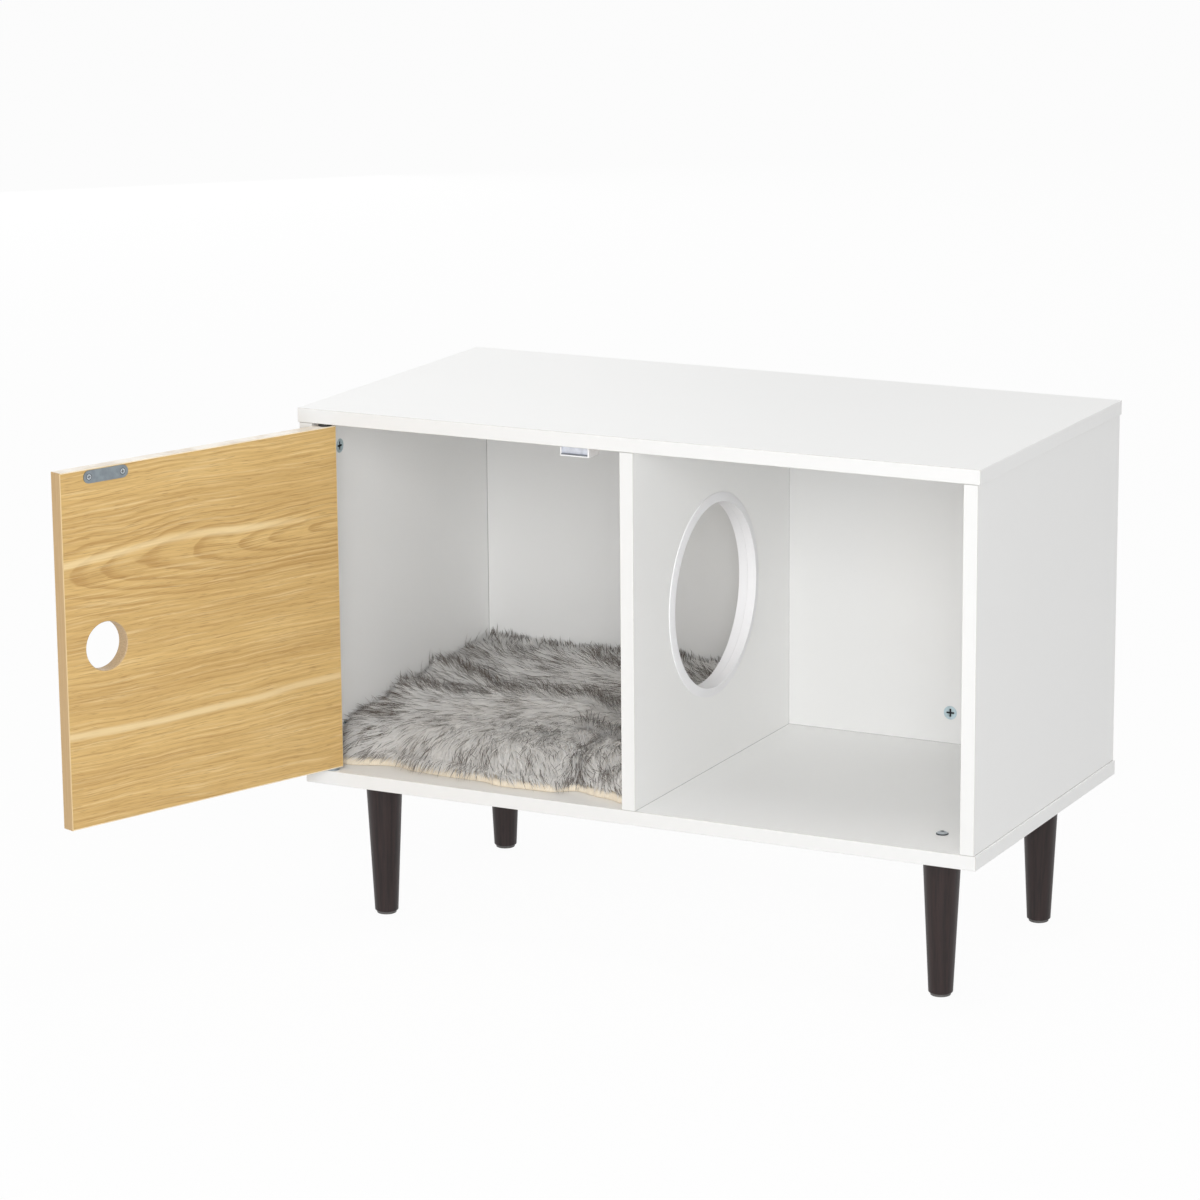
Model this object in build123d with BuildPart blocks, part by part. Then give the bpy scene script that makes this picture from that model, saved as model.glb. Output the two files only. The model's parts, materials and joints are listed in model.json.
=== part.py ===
from build123d import *
from math import cos, radians, sin
import os

# Cat house side table: a white two-bay cabinet on four tapered legs. The left bay has an oak-faced door
# that swings on two pins and a fur mat on its floor, and a round pass hole leads to the open right bay.
# Lengths are millimetres. +Z is up and the cabinet's front looks along -Y. The floor is at Z = 0, and the
# origin is under the middle of the box round the whole table, with its door open as it is stored.

# Cabinet boards
cabinet_width = 760.0
cabinet_depth = 390.0
cabinet_height = 402.0
board = 15.0
back_board = 12.0
side_inset = 2.0
board_edge_radius = 0.6

# Legs and the glides under them
leg_length = 150.0
leg_top_diameter = 39.5
leg_foot_diameter = 25.0
leg_inset = 60.0
leg_edge_radius = 1.2
glide_diameter = 21.0
glide_height = 3.0
glide_edge_radius = 0.8
glide_nail_diameter = 4.0
glide_nail_length = 14.0

# Leg bolts and the threaded inserts that they turn into
leg_bolt_diameter = 6.0
leg_bolt_in_leg = 18.0
leg_bolt_head_diameter = 12.5
leg_bolt_head_rim = 0.8
leg_bolt_head_dome = 2.4
leg_bolt_key_width = 4.0
leg_bolt_key_depth = 2.0
insert_diameter = 10.0
insert_length = 22.0

# Door, with its free edge towards the divider
door_thickness = 15.0
door_hinge_gap = 3.5
door_free_gap = 4.0
door_end_gap = 3.0
door_open_angle = 111.0
edge_band = 1.0
door_edge_radius = 0.5
finger_hole_diameter = 50.0
finger_hole_from_edge = 50.0
finger_hole_chamfer = 0.8

# Door pivots
pivot_from_edge = 8.0
pivot_pin_diameter = 6.0
pivot_pin_in_board = 10.0
pivot_pin_in_door = 11.0
pivot_bush_diameter = 10.0
pivot_bush_length = 13.0
pivot_washer_diameter = 14.0
pivot_play = 0.1

# Magnetic catch
catch_width = 33.0
catch_depth = 22.0
catch_height = 13.5
catch_wall = 1.6
catch_recess_depth = 13.0
catch_edge_radius = 0.8
catch_screw_spacing = 18.0
catch_screw_from_back = 5.0
catch_screw_length = 22.0
magnet_depth = 11.0
pole_plate = 1.2
pole_plate_stand_out = 0.4

# Strike plate on the door, which the catch pulls
strike_length = 54.0
strike_width = 13.0
strike_thickness = 1.2
strike_from_edge = 55.0
strike_from_top = 8.0
strike_screw_spacing = 41.0
strike_screw_length = 12.0
strike_to_catch = 0.3

# Small countersunk screws of the strike plate and the catch
screw_head_diameter = 6.6
screw_head_rim = 0.3
screw_shank_diameter = 3.2
screw_tip_length = 2.0
screw_cross_length = 3.8
screw_cross_width = 0.8
screw_cross_depth = 1.0

# Cam fittings between the boards
cam_diameter = 15.0
cam_depth = 12.5
back_cam_depth = 10.0
cam_reach = 34.0
cam_from_front = 56.0
cam_from_back = 56.0
back_cam_from_side = 166.0
cam_cross_length = 9.0
cam_cross_width = 2.2
cam_cross_depth = 1.8
cam_bolt_diameter = 6.4
cam_bolt_past_middle = 1.6
cam_thread_diameter = 5.0
cam_thread_length = 11.0

# Wood dowels between the boards
dowel_diameter = 8.0
back_dowel_diameter = 6.0
dowel_in_face = 9.0
dowel_in_edge = 20.0
dowel_from_cam = 32.0
divider_dowel_from_end = 56.0
back_dowel_from_side = 70.0

# Pass hole ring, two halves that meet inside the divider
pass_clear_diameter = 197.0
pass_sleeve_wall = 2.0
pass_flange_diameter = 216.0
pass_flange_rim = 0.8
pass_flange_lip = 2.4
pass_flange_bow = 38.0

# Fur mat and its backing pad
backing_height = 8.0
mat_side_gap = 0.3
mat_back_gap = 0.5
mat_behind_hem = 2.0
mat_front_rise = 7.0
mat_back_rise = 46.0
bolt_pocket_diameter = 18.0

# Mat stations, evenly spaced from the bay's left wall to the divider. Each gives how far the hem lies
# behind the cabinet's front, the height of the front swell, the fold's share of the bay's depth, the
# fold's height and the height of the rear swell. Heights are above the bay's floor.
mat_stations = (
    (24.0, 49.0, 0.51, 44.0, 61.0),
    (34.0, 50.0, 0.49, 41.0, 62.0),
    (40.0, 50.0, 0.465, 38.0, 63.0),
    (32.0, 51.0, 0.49, 37.0, 64.0),
    (30.0, 51.0, 0.54, 37.0, 64.0),
    (28.0, 51.0, 0.545, 37.0, 63.0),
    (21.0, 50.0, 0.545, 38.0, 62.0),
    (24.0, 49.0, 0.52, 38.0, 62.0),
    (37.0, 49.0, 0.515, 38.0, 62.0),
    (31.0, 49.0, 0.52, 39.0, 61.0),
    (23.0, 48.0, 0.52, 41.0, 60.0),
)

# Named clearances
fixed_clearance = 0.05
running_clearance = 0.05
pocket_clearance = 0.4
cam_bolt_clearance = 0.4
sleeve_clearance = 0.25
sleeve_halves_gap = 0.2

# Heights above the floor
carcass_bottom = glide_height + leg_length
bay_floor = carcass_bottom + board
bay_ceiling = carcass_bottom + cabinet_height - board
bay_height = bay_ceiling - bay_floor
bay_middle = (bay_floor + bay_ceiling) / 2

# Door size, and how far the open door reaches past the cabinet's left side and front
bay_width = (cabinet_width - 2 * side_inset - 3 * board) / 2
door_width = bay_width - door_hinge_gap - door_free_gap
door_height = bay_height - 2 * door_end_gap
door_half = door_thickness / 2
free_reach = door_width - pivot_from_edge
swing = radians(door_open_angle)
pivot_from_left = side_inset + board + door_hinge_gap + pivot_from_edge
reach_left = max(0, door_half * sin(swing) - free_reach * cos(swing) - pivot_from_left)
reach_front = max(0, free_reach * sin(swing) + door_half * abs(cos(swing)) - door_half)

# Places from left to right
cabinet_left = (reach_left - cabinet_width) / 2
cabinet_right = cabinet_left + cabinet_width
left_side = cabinet_left + side_inset
left_bay = left_side + board
divider_left = left_bay + bay_width
right_bay = divider_left + board
right_side = right_bay + bay_width
left_side_middle = left_side + board / 2
divider_middle = divider_left + board / 2
right_side_middle = right_side + board / 2

# Places from front to back
cabinet_front = (reach_front - cabinet_depth) / 2
cabinet_back = cabinet_front + cabinet_depth
bay_back = cabinet_back - back_board
back_middle = bay_back + back_board / 2
cabinet_middle = ((cabinet_left + cabinet_right) / 2, (cabinet_front + cabinet_back) / 2)
bay_depth = bay_back - cabinet_front
bay_depth_middle = (cabinet_front + bay_back) / 2

# Door axis, with a plane at the door's lower end and one on its inner face, from the upper free corner
pivot_x = cabinet_left + pivot_from_left
pivot_y = cabinet_front + door_half
door_bottom = bay_floor + door_end_gap
door_frame = Plane((pivot_x, pivot_y, door_bottom), x_dir=(cos(swing), -sin(swing), 0), z_dir=(0, 0, 1))
door_corner = door_frame.from_local_coords((free_reach, door_half, door_height))
door_face = Plane(door_corner, x_dir=-door_frame.x_dir, z_dir=door_frame.y_dir)

# Catch, behind the closed door's strike plate
catch_x = pivot_x + free_reach - strike_from_edge
catch_front = cabinet_front + door_thickness + strike_thickness + strike_to_catch + pole_plate_stand_out
catch_back = catch_front + catch_depth
catch_bottom = bay_ceiling - catch_height

leg_axes = {
    "front_left_leg": (cabinet_left + leg_inset, cabinet_front + leg_inset),
    "front_right_leg": (cabinet_right - leg_inset, cabinet_front + leg_inset),
    "rear_left_leg": (cabinet_left + leg_inset, cabinet_back - leg_inset),
    "rear_right_leg": (cabinet_right - leg_inset, cabinet_back - leg_inset),
}

os.makedirs("parts", exist_ok=True)


# A place on the bottom or top board is a point of the face that looks into the bays. Its z points into
# the bay: up from the bottom board, where side is 1, and down from the top board, where side is -1.
def on_board(x, y, side):
    height = bay_floor if side > 0 else bay_ceiling
    return Location(Plane((x, y, height), x_dir=(1, 0, 0), z_dir=(0, 0, side)))


# A cam's place is the middle of its face. Its z looks out of the board and its x points along its bolt.
def on_cam(x, y, side, look):
    height = bay_floor + cam_reach if side > 0 else bay_ceiling - cam_reach
    return Location(Plane((x, y, height), x_dir=(0, 0, -side), z_dir=look))


both = (1, -1)
cam_rows = (cabinet_front + cam_from_front, cabinet_back - cam_from_back)
side_dowel_rows = (cam_rows[0] + dowel_from_cam, cam_rows[1] - dowel_from_cam)
divider_dowel_rows = (cabinet_front + divider_dowel_from_end, bay_back - divider_dowel_from_end)
back_cam_columns = (left_bay + back_cam_from_side, right_side - back_cam_from_side)
back_dowel_columns = (left_bay + back_dowel_from_side, right_side - back_dowel_from_side)

left_cams = [on_cam(left_bay, y, side, (1, 0, 0)) for y in cam_rows for side in both]
right_cams = [on_cam(right_side, y, side, (-1, 0, 0)) for y in cam_rows for side in both]
back_cams = [on_cam(x, bay_back, side, (0, -1, 0)) for x in back_cam_columns for side in both]


def side_dowels(x, side):
    return [on_board(x, y, side) for y in side_dowel_rows]


def divider_dowels(side):
    return [on_board(divider_middle, y, side) for y in divider_dowel_rows]


def thick_dowels(side):
    return side_dowels(left_side_middle, side) + side_dowels(right_side_middle, side) + divider_dowels(side)


def thin_dowels(side):
    return [on_board(x, back_middle, side) for x in back_dowel_columns]


def cam_bolts_on(side):
    sides = [on_board(x, y, side) for x in (left_side_middle, right_side_middle) for y in cam_rows]
    return sides + [on_board(x, back_middle, side) for x in back_cam_columns]


def rod(places, radius, low, high, mode=Mode.ADD):
    """A round rod or hole along each place's z, from low to high."""
    with Locations(*places):
        with Locations((0, 0, low)):
            Cylinder(radius, high - low, align=(Align.CENTER, Align.CENTER, Align.MIN), mode=mode)


def drill(places, diameter, low, high):
    rod(places, diameter / 2 + fixed_clearance, low, high, Mode.SUBTRACT)


def drill_flat_board(side):
    """Holes for cam bolts, dowels and the door's pin in the face that looks into the bays."""
    drill(cam_bolts_on(side), cam_thread_diameter, -cam_thread_length - pocket_clearance, 0)
    drill(thick_dowels(side), dowel_diameter, -dowel_in_face - pocket_clearance, 0)
    drill(thin_dowels(side), back_dowel_diameter, -dowel_in_face - pocket_clearance, 0)
    drill([on_board(pivot_x, pivot_y, side)], pivot_pin_diameter, -pivot_pin_in_board - pocket_clearance, 0)


def drill_cams(places, depth, thickness):
    """Cam pockets, and the bolt bores that run from them to the edge of the board."""
    drill(places, cam_diameter, -depth - pocket_clearance, 0)
    bores = [place * Location((0, 0, -thickness / 2), (0, 90, 0)) for place in places]
    rod(bores, cam_bolt_diameter / 2 + cam_bolt_clearance, 0, cam_reach, Mode.SUBTRACT)


def drill_edge_dowels(places, diameter):
    drill(places, diameter, 0, dowel_in_edge + pocket_clearance)


# Top board
with BuildPart() as top_panel:
    with BuildSketch(Plane.XY.offset(bay_ceiling)):
        with Locations(cabinet_middle):
            Rectangle(cabinet_width, cabinet_depth)
    extrude(amount=board)
    fillet(top_panel.edges(), board_edge_radius)
    drill_flat_board(-1)
    catch_screw_row = catch_back - catch_screw_from_back
    catch_screw_columns = [catch_x + side * catch_screw_spacing / 2 for side in both]
    catch_screw_holes = [on_board(x, catch_screw_row, -1) for x in catch_screw_columns]
    drill(catch_screw_holes, screw_shank_diameter, catch_height - catch_screw_length, 0)
top_panel.part.label = "top_panel"
export_step(top_panel.part, "parts/top_panel.step")

# Bottom board, with clear holes for the leg bolts
with BuildPart() as bottom_panel:
    with BuildSketch(Plane.XY.offset(carcass_bottom)):
        with Locations(cabinet_middle):
            Rectangle(cabinet_width, cabinet_depth)
    extrude(amount=board)
    fillet(bottom_panel.edges(), board_edge_radius)
    drill_flat_board(1)
    drill([on_board(x, y, 1) for x, y in leg_axes.values()], leg_bolt_diameter, -board, 0)
bottom_panel.part.label = "bottom_panel"
export_step(bottom_panel.part, "parts/bottom_panel.step")

# Side boards, between the top and bottom boards
with BuildPart() as left_side_panel:
    with BuildSketch(Plane.YZ.offset(left_side)):
        with Locations((cabinet_middle[1], bay_middle)):
            Rectangle(cabinet_depth, bay_height)
    extrude(amount=board)
    fillet(left_side_panel.edges().filter_by(Axis.Z), board_edge_radius)
    drill_cams(left_cams, cam_depth, board)
    for side in both:
        drill_edge_dowels(side_dowels(left_side_middle, side), dowel_diameter)
left_side_panel.part.label = "left_side_panel"
export_step(left_side_panel.part, "parts/left_side_panel.step")

with BuildPart() as right_side_panel:
    with BuildSketch(Plane.YZ.offset(right_side)):
        with Locations((cabinet_middle[1], bay_middle)):
            Rectangle(cabinet_depth, bay_height)
    extrude(amount=board)
    fillet(right_side_panel.edges().filter_by(Axis.Z), board_edge_radius)
    drill_cams(right_cams, cam_depth, board)
    for side in both:
        drill_edge_dowels(side_dowels(right_side_middle, side), dowel_diameter)
right_side_panel.part.label = "right_side_panel"
export_step(right_side_panel.part, "parts/right_side_panel.step")

# Divider, with the pass hole between the bays
pass_sleeve_radius = pass_clear_diameter / 2 + pass_sleeve_wall
pass_centre = (bay_depth_middle, bay_middle)

with BuildPart() as divider_panel:
    with BuildSketch(Plane.YZ.offset(divider_left)):
        with Locations((bay_depth_middle, bay_middle)):
            Rectangle(bay_depth, bay_height)
        with Locations(pass_centre):
            Circle(pass_sleeve_radius + sleeve_clearance, mode=Mode.SUBTRACT)
    extrude(amount=board)
    fillet(divider_panel.edges().filter_by(Axis.Z).group_by(Axis.Y)[0], board_edge_radius)
    for side in both:
        drill_edge_dowels(divider_dowels(side), dowel_diameter)
divider_panel.part.label = "divider_panel"
export_step(divider_panel.part, "parts/divider_panel.step")

# Back board, between the side boards
with BuildPart() as back_panel:
    with BuildSketch(Plane.XZ.offset(-cabinet_back)):
        with Locations(((left_bay + right_side) / 2, bay_middle)):
            Rectangle(right_side - left_bay, bay_height)
    extrude(amount=back_board)
    drill_cams(back_cams, back_cam_depth, back_board)
    for side in both:
        drill_edge_dowels(thin_dowels(side), back_dowel_diameter)
back_panel.part.label = "back_panel"
export_step(back_panel.part, "parts/back_panel.step")


def cams(places, depth, thickness):
    """Cam locks: a round body with a cross for the screwdriver and a bore that takes its bolt's head."""
    rod(places, cam_diameter / 2, -depth, 0)
    bores = [place * Location((0, 0, -thickness / 2), (0, 90, 0)) for place in places]
    bolt_space = cam_bolt_diameter / 2 + cam_bolt_clearance
    rod(bores, bolt_space, -cam_bolt_past_middle - pocket_clearance, cam_diameter, Mode.SUBTRACT)
    cross = (cam_cross_length, cam_cross_width, cam_cross_depth)
    with Locations(*places):
        for turn in (0, 90):
            Box(
                *cross,
                rotation=(0, 0, turn),
                align=(Align.CENTER, Align.CENTER, Align.MAX),
                mode=Mode.SUBTRACT,
            )


# Cam locks in the side and back boards
with BuildPart() as cam_locks:
    cams(left_cams + right_cams, cam_depth, board)
    cams(back_cams, back_cam_depth, back_board)
cam_locks.part.label = "cam_locks"
export_step(cam_locks.part, "parts/cam_locks.step")

# Cam bolts, screwed into the top and bottom boards
with BuildPart() as cam_bolts:
    for side in both:
        rod(cam_bolts_on(side), cam_thread_diameter / 2, -cam_thread_length, 0)
        rod(cam_bolts_on(side), cam_bolt_diameter / 2, 0, cam_reach + cam_bolt_past_middle)
cam_bolts.part.label = "cam_bolts"
export_step(cam_bolts.part, "parts/cam_bolts.step")

# Wood dowels, which line the boards up
with BuildPart() as wood_dowels:
    for side in both:
        rod(thick_dowels(side), dowel_diameter / 2, -dowel_in_face, dowel_in_edge)
        rod(thin_dowels(side), back_dowel_diameter / 2, -dowel_in_face, dowel_in_edge)
wood_dowels.part.label = "wood_dowels"
export_step(wood_dowels.part, "parts/wood_dowels.step")

# Legs: round, tapered to the foot, with a hole for the insert above and for the glide's nail below
insert_hole_depth = insert_length + pocket_clearance
for name, (x, y) in leg_axes.items():
    with BuildPart() as leg:
        with BuildSketch(Plane((x, y, glide_height))):
            Circle(leg_foot_diameter / 2)
        with BuildSketch(Plane((x, y, carcass_bottom))):
            Circle(leg_top_diameter / 2)
        loft()
        fillet(leg.edges().group_by(Axis.Z)[0], leg_edge_radius)
        leg_top = Location((x, y, carcass_bottom))
        leg_foot = Location((x, y, glide_height))
        drill([leg_top], insert_diameter, -insert_hole_depth, 0)
        drill([leg_foot], glide_nail_diameter, 0, glide_nail_length + pocket_clearance)
    leg.part.label = name
    export_step(leg.part, f"parts/{name}.step")

# Threaded inserts in the leg tops
leg_tops = [Location((x, y, carcass_bottom)) for x, y in leg_axes.values()]
with BuildPart() as leg_inserts:
    rod(leg_tops, insert_diameter / 2, -insert_length, 0)
    drill(leg_tops, leg_bolt_diameter, -insert_length, 0)
leg_inserts.part.label = "leg_inserts"
export_step(leg_inserts.part, "parts/leg_inserts.step")

# Leg bolts: low domed heads on the bottom board, and shanks that reach into the inserts
head_radius = leg_bolt_head_diameter / 2
dome_radius = (head_radius**2 + leg_bolt_head_dome**2) / (2 * leg_bolt_head_dome)
head_top = leg_bolt_head_rim + leg_bolt_head_dome
bolt_end = -board - leg_bolt_in_leg

with BuildPart() as leg_bolt:
    with BuildSketch(Plane.XZ):
        with BuildLine():
            Line((0, 0), (head_radius, 0))
            Line((head_radius, 0), (head_radius, leg_bolt_head_rim))
            RadiusArc((head_radius, leg_bolt_head_rim), (0, head_top), -dome_radius)
            Line((0, head_top), (0, 0))
        make_face()
    revolve(axis=Axis.Z)
    Cylinder(
        leg_bolt_diameter / 2,
        -bolt_end,
        align=(Align.CENTER, Align.CENTER, Align.MAX),
    )
    with BuildSketch(Plane.XY.offset(head_top - leg_bolt_key_depth)):
        RegularPolygon(leg_bolt_key_width / 2, 6, major_radius=False)
    extrude(amount=leg_bolt_key_depth, mode=Mode.SUBTRACT)

with BuildPart() as leg_bolts:
    with Locations(*[(x, y, bay_floor) for x, y in leg_axes.values()]):
        add(leg_bolt.part)
leg_bolts.part.label = "leg_bolts"
export_step(leg_bolts.part, "parts/leg_bolts.step")

# Glides: round pads under the legs, each held by its nail
leg_feet = [Location((x, y, 0)) for x, y in leg_axes.values()]
with BuildPart() as leg_glides:
    rod(leg_feet, glide_diameter / 2, 0, glide_height)
    fillet(leg_glides.edges().group_by(Axis.Z)[0], glide_edge_radius)
    rod(leg_feet, glide_nail_diameter / 2, glide_height, glide_height + glide_nail_length)
leg_glides.part.label = "leg_glides"
export_step(leg_glides.part, "parts/leg_glides.step")


def countersunk_screw(length, clearance=0.0):
    """A screw with its head's face at z = 0 and its tip down, or with a clearance the space for it."""
    head = screw_head_diameter / 2 + clearance
    shank = screw_shank_diameter / 2 + clearance
    head_depth = (screw_head_diameter - screw_shank_diameter) / 2
    with BuildPart() as screw:
        with BuildSketch(Plane.XZ):
            with BuildLine():
                Polyline(
                    (0, clearance),
                    (head, clearance),
                    (head, -screw_head_rim),
                    (shank, -screw_head_rim - head_depth),
                    (shank, screw_tip_length - length),
                    (0, -length - clearance),
                    close=True,
                )
            make_face()
        revolve(axis=Axis.Z)
        if clearance == 0:
            for turn in (0, 90):
                Box(
                    screw_cross_length,
                    screw_cross_width,
                    screw_cross_depth,
                    rotation=(0, 0, turn),
                    align=(Align.CENTER, Align.CENTER, Align.MAX),
                    mode=Mode.SUBTRACT,
                )
    return screw.part


# Door board: drilled for the bushes and the strike plate's screws, with the round finger hole
strike_middle = Location((strike_from_edge, -strike_from_top, 0))
strike_screw_places = [
    Location(door_face) * strike_middle * Location((side * strike_screw_spacing / 2, 0, strike_thickness))
    for side in both
]
strike_screw_space = countersunk_screw(strike_screw_length, fixed_clearance)
door_middle_x = free_reach - door_width / 2
bush_places = [
    Location(door_frame),
    Location(door_frame) * Location((0, 0, door_height), (180, 0, 0)),
]

with BuildPart() as door_panel:
    with BuildSketch(door_frame.offset(edge_band)):
        with Locations((door_middle_x, 0)):
            Rectangle(door_width - 2 * edge_band, door_thickness)
    extrude(amount=door_height - 2 * edge_band)
    with BuildSketch(door_face):
        with Locations((finger_hole_from_edge, -door_height / 2)):
            Circle(finger_hole_diameter / 2)
    extrude(amount=-door_thickness, mode=Mode.SUBTRACT)
    chamfer(door_panel.edges().filter_by(GeomType.CIRCLE), finger_hole_chamfer)
    drill(bush_places, pivot_bush_diameter, 0, pivot_bush_length + pocket_clearance)
    with Locations(*strike_screw_places):
        add(strike_screw_space, mode=Mode.SUBTRACT)
door_panel.part.label = "door_panel"
export_step(door_panel.part, "parts/door_panel.step")

# Edge bands: two full-height strips down the sides, and two across the ends between them
with BuildPart() as door_side_bands:
    with BuildSketch(door_frame):
        for side in both:
            with Locations((door_middle_x + side * (door_width - edge_band) / 2, 0)):
                Rectangle(edge_band, door_thickness)
    extrude(amount=door_height)
    strip_edges = door_side_bands.edges().filter_by(Axis.Z)
    outer_edges = strip_edges.sort_by(door_frame.location.x_axis)
    fillet(outer_edges[:2] + outer_edges[-2:], door_edge_radius)
door_side_bands.part.label = "door_side_bands"
export_step(door_side_bands.part, "parts/door_side_bands.step")

with BuildPart() as door_end_bands:
    for height in (0, door_height - edge_band):
        with BuildSketch(door_frame.offset(height)):
            with Locations((door_middle_x, 0)):
                Rectangle(door_width - 2 * edge_band, door_thickness)
        extrude(amount=edge_band)
    drill(bush_places, pivot_bush_diameter, 0, edge_band)
door_end_bands.part.label = "door_end_bands"
export_step(door_end_bands.part, "parts/door_end_bands.step")

# Pivots, the lower one and the upper one: a bush in the door's end, a pin that stands in the cabinet's
# board and turns in the bush, and a washer round the pin in the gap between the door and the board
pin_reach = door_end_gap + pivot_pin_in_door
bush_bore = pivot_pin_diameter + 2 * running_clearance
for name, side, bush_place in (("lower", 1, bush_places[0]), ("upper", -1, bush_places[1])):
    pin_place = on_board(pivot_x, pivot_y, side)

    with BuildPart() as bush:
        rod([bush_place], pivot_bush_diameter / 2, 0, pivot_bush_length)
        rod([bush_place], bush_bore / 2, 0, pivot_bush_length, Mode.SUBTRACT)
    bush.part.label = f"{name}_pivot_bush"
    export_step(bush.part, f"parts/{name}_pivot_bush.step")

    with BuildPart() as pin:
        rod([pin_place], pivot_pin_diameter / 2, -pivot_pin_in_board, pin_reach)
    pin.part.label = f"{name}_pivot_pin"
    export_step(pin.part, f"parts/{name}_pivot_pin.step")

    with BuildPart() as washer:
        rod([pin_place], pivot_washer_diameter / 2, 0, door_end_gap - pivot_play)
        drill([pin_place], pivot_pin_diameter, 0, door_end_gap)
    washer.part.label = f"{name}_pivot_washer"
    export_step(washer.part, f"parts/{name}_pivot_washer.step")

# Strike plate and its two screws, on the door's inner face
with BuildPart() as strike_plate:
    with BuildSketch(door_face):
        with Locations((strike_from_edge, -strike_from_top)):
            SlotOverall(strike_length, strike_width)
    extrude(amount=strike_thickness)
    with Locations(*strike_screw_places):
        add(strike_screw_space, mode=Mode.SUBTRACT)
strike_plate.part.label = "strike_plate"
export_step(strike_plate.part, "parts/strike_plate.step")

strike_screw = countersunk_screw(strike_screw_length)
with BuildPart() as strike_screws:
    with Locations(*strike_screw_places):
        add(strike_screw)
strike_screws.part.label = "strike_screws"
export_step(strike_screws.part, "parts/strike_screws.step")

# Catch body: a moulded block under the top board, with a recess in its front for the magnet
recess_width = catch_width - 2 * catch_wall
recess_height = catch_height - 2 * catch_wall
recess_middle = (catch_x, catch_bottom + catch_height / 2)
catch_screw_places = [place * Location((0, 0, catch_height)) for place in catch_screw_holes]

with BuildPart() as catch_body:
    with BuildSketch(Plane.XY.offset(catch_bottom)):
        with Locations((catch_x, catch_front + catch_depth / 2)):
            Rectangle(catch_width, catch_depth)
    extrude(amount=catch_height)
    fillet(catch_body.edges().filter_by(Axis.Z), catch_edge_radius)
    fillet(catch_body.edges().group_by(Axis.Z)[0], catch_edge_radius)
    with BuildSketch(Plane.XZ.offset(-catch_front)):
        with Locations(recess_middle):
            Rectangle(recess_width, recess_height)
    extrude(amount=-catch_recess_depth, mode=Mode.SUBTRACT)
    catch_screw_space = countersunk_screw(catch_screw_length, fixed_clearance)
    with Locations(*catch_screw_places):
        add(catch_screw_space, mode=Mode.SUBTRACT)
catch_body.part.label = "catch_body"
export_step(catch_body.part, "parts/catch_body.step")

# Magnet at the back of the recess, between two steel pole plates that stand a little proud
recess_back = catch_front + catch_recess_depth
with BuildPart() as catch_magnet:
    with BuildSketch(Plane.XZ.offset(-recess_back)):
        with Locations(recess_middle):
            Rectangle(recess_width, recess_height - 2 * pole_plate)
    extrude(amount=magnet_depth)
catch_magnet.part.label = "catch_magnet"
export_step(catch_magnet.part, "parts/catch_magnet.step")

with BuildPart() as catch_pole_plates:
    with BuildSketch(Plane.XZ.offset(-recess_back)):
        for side in both:
            with Locations((catch_x, recess_middle[1] + side * (recess_height - pole_plate) / 2)):
                Rectangle(recess_width, pole_plate)
    extrude(amount=catch_recess_depth + pole_plate_stand_out)
catch_pole_plates.part.label = "catch_pole_plates"
export_step(catch_pole_plates.part, "parts/catch_pole_plates.step")

catch_screw = countersunk_screw(catch_screw_length)
with BuildPart() as catch_screws:
    with Locations(*catch_screw_places):
        add(catch_screw)
catch_screws.part.label = "catch_screws"
export_step(catch_screws.part, "parts/catch_screws.step")

# Pass ring halves: each a flange on one face of the divider, with a sleeve to near the board's middle
clear_radius = pass_clear_diameter / 2
flange_radius = pass_flange_diameter / 2
sleeve_length = (board - sleeve_halves_gap) / 2
for name, face, look in (("left_pass_ring", divider_left, -1), ("right_pass_ring", right_bay, 1)):
    ring_middle = (face, *pass_centre)
    with BuildPart() as pass_ring:
        with BuildSketch(Plane(ring_middle, x_dir=(0, 1, 0), z_dir=(0, 0, 1))):
            with BuildLine():
                lip = (clear_radius, -look * pass_flange_lip)
                rim = (flange_radius, -look * pass_flange_rim)
                Polyline(
                    lip,
                    (clear_radius, look * sleeve_length),
                    (pass_sleeve_radius, look * sleeve_length),
                    (pass_sleeve_radius, 0),
                    (flange_radius, 0),
                    rim,
                )
                RadiusArc(rim, lip, look * pass_flange_bow)
            make_face()
        revolve(axis=Axis(ring_middle, (1, 0, 0)))
    pass_ring.part.label = name
    export_step(pass_ring.part, f"parts/{name}.step")

# Backing pad with its wavy hem, and pockets over the bolt heads of the left legs
mat_left = left_bay + mat_side_gap
mat_back = bay_back - mat_back_gap
station_step = (bay_width - 2 * mat_side_gap) / (len(mat_stations) - 1)
station_xs = [mat_left + index * station_step for index in range(len(mat_stations))]
hem = [(x, cabinet_front + setback) for x, (setback, *_) in zip(station_xs, mat_stations)]

with BuildPart() as mat_backing:
    with BuildSketch(Plane.XY.offset(bay_floor)):
        with BuildLine():
            Spline(*hem)
            Polyline(hem[-1], (hem[-1][0], mat_back), (mat_left, mat_back), hem[0])
        make_face()
    extrude(amount=backing_height)
    left_bolt_heads = [on_board(*leg_axes[name], 1) for name in ("front_left_leg", "rear_left_leg")]
    drill(left_bolt_heads, bolt_pocket_diameter, 0, head_top + pocket_clearance)
mat_backing.part.label = "mat_backing"
export_step(mat_backing.part, "parts/mat_backing.step")

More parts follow.
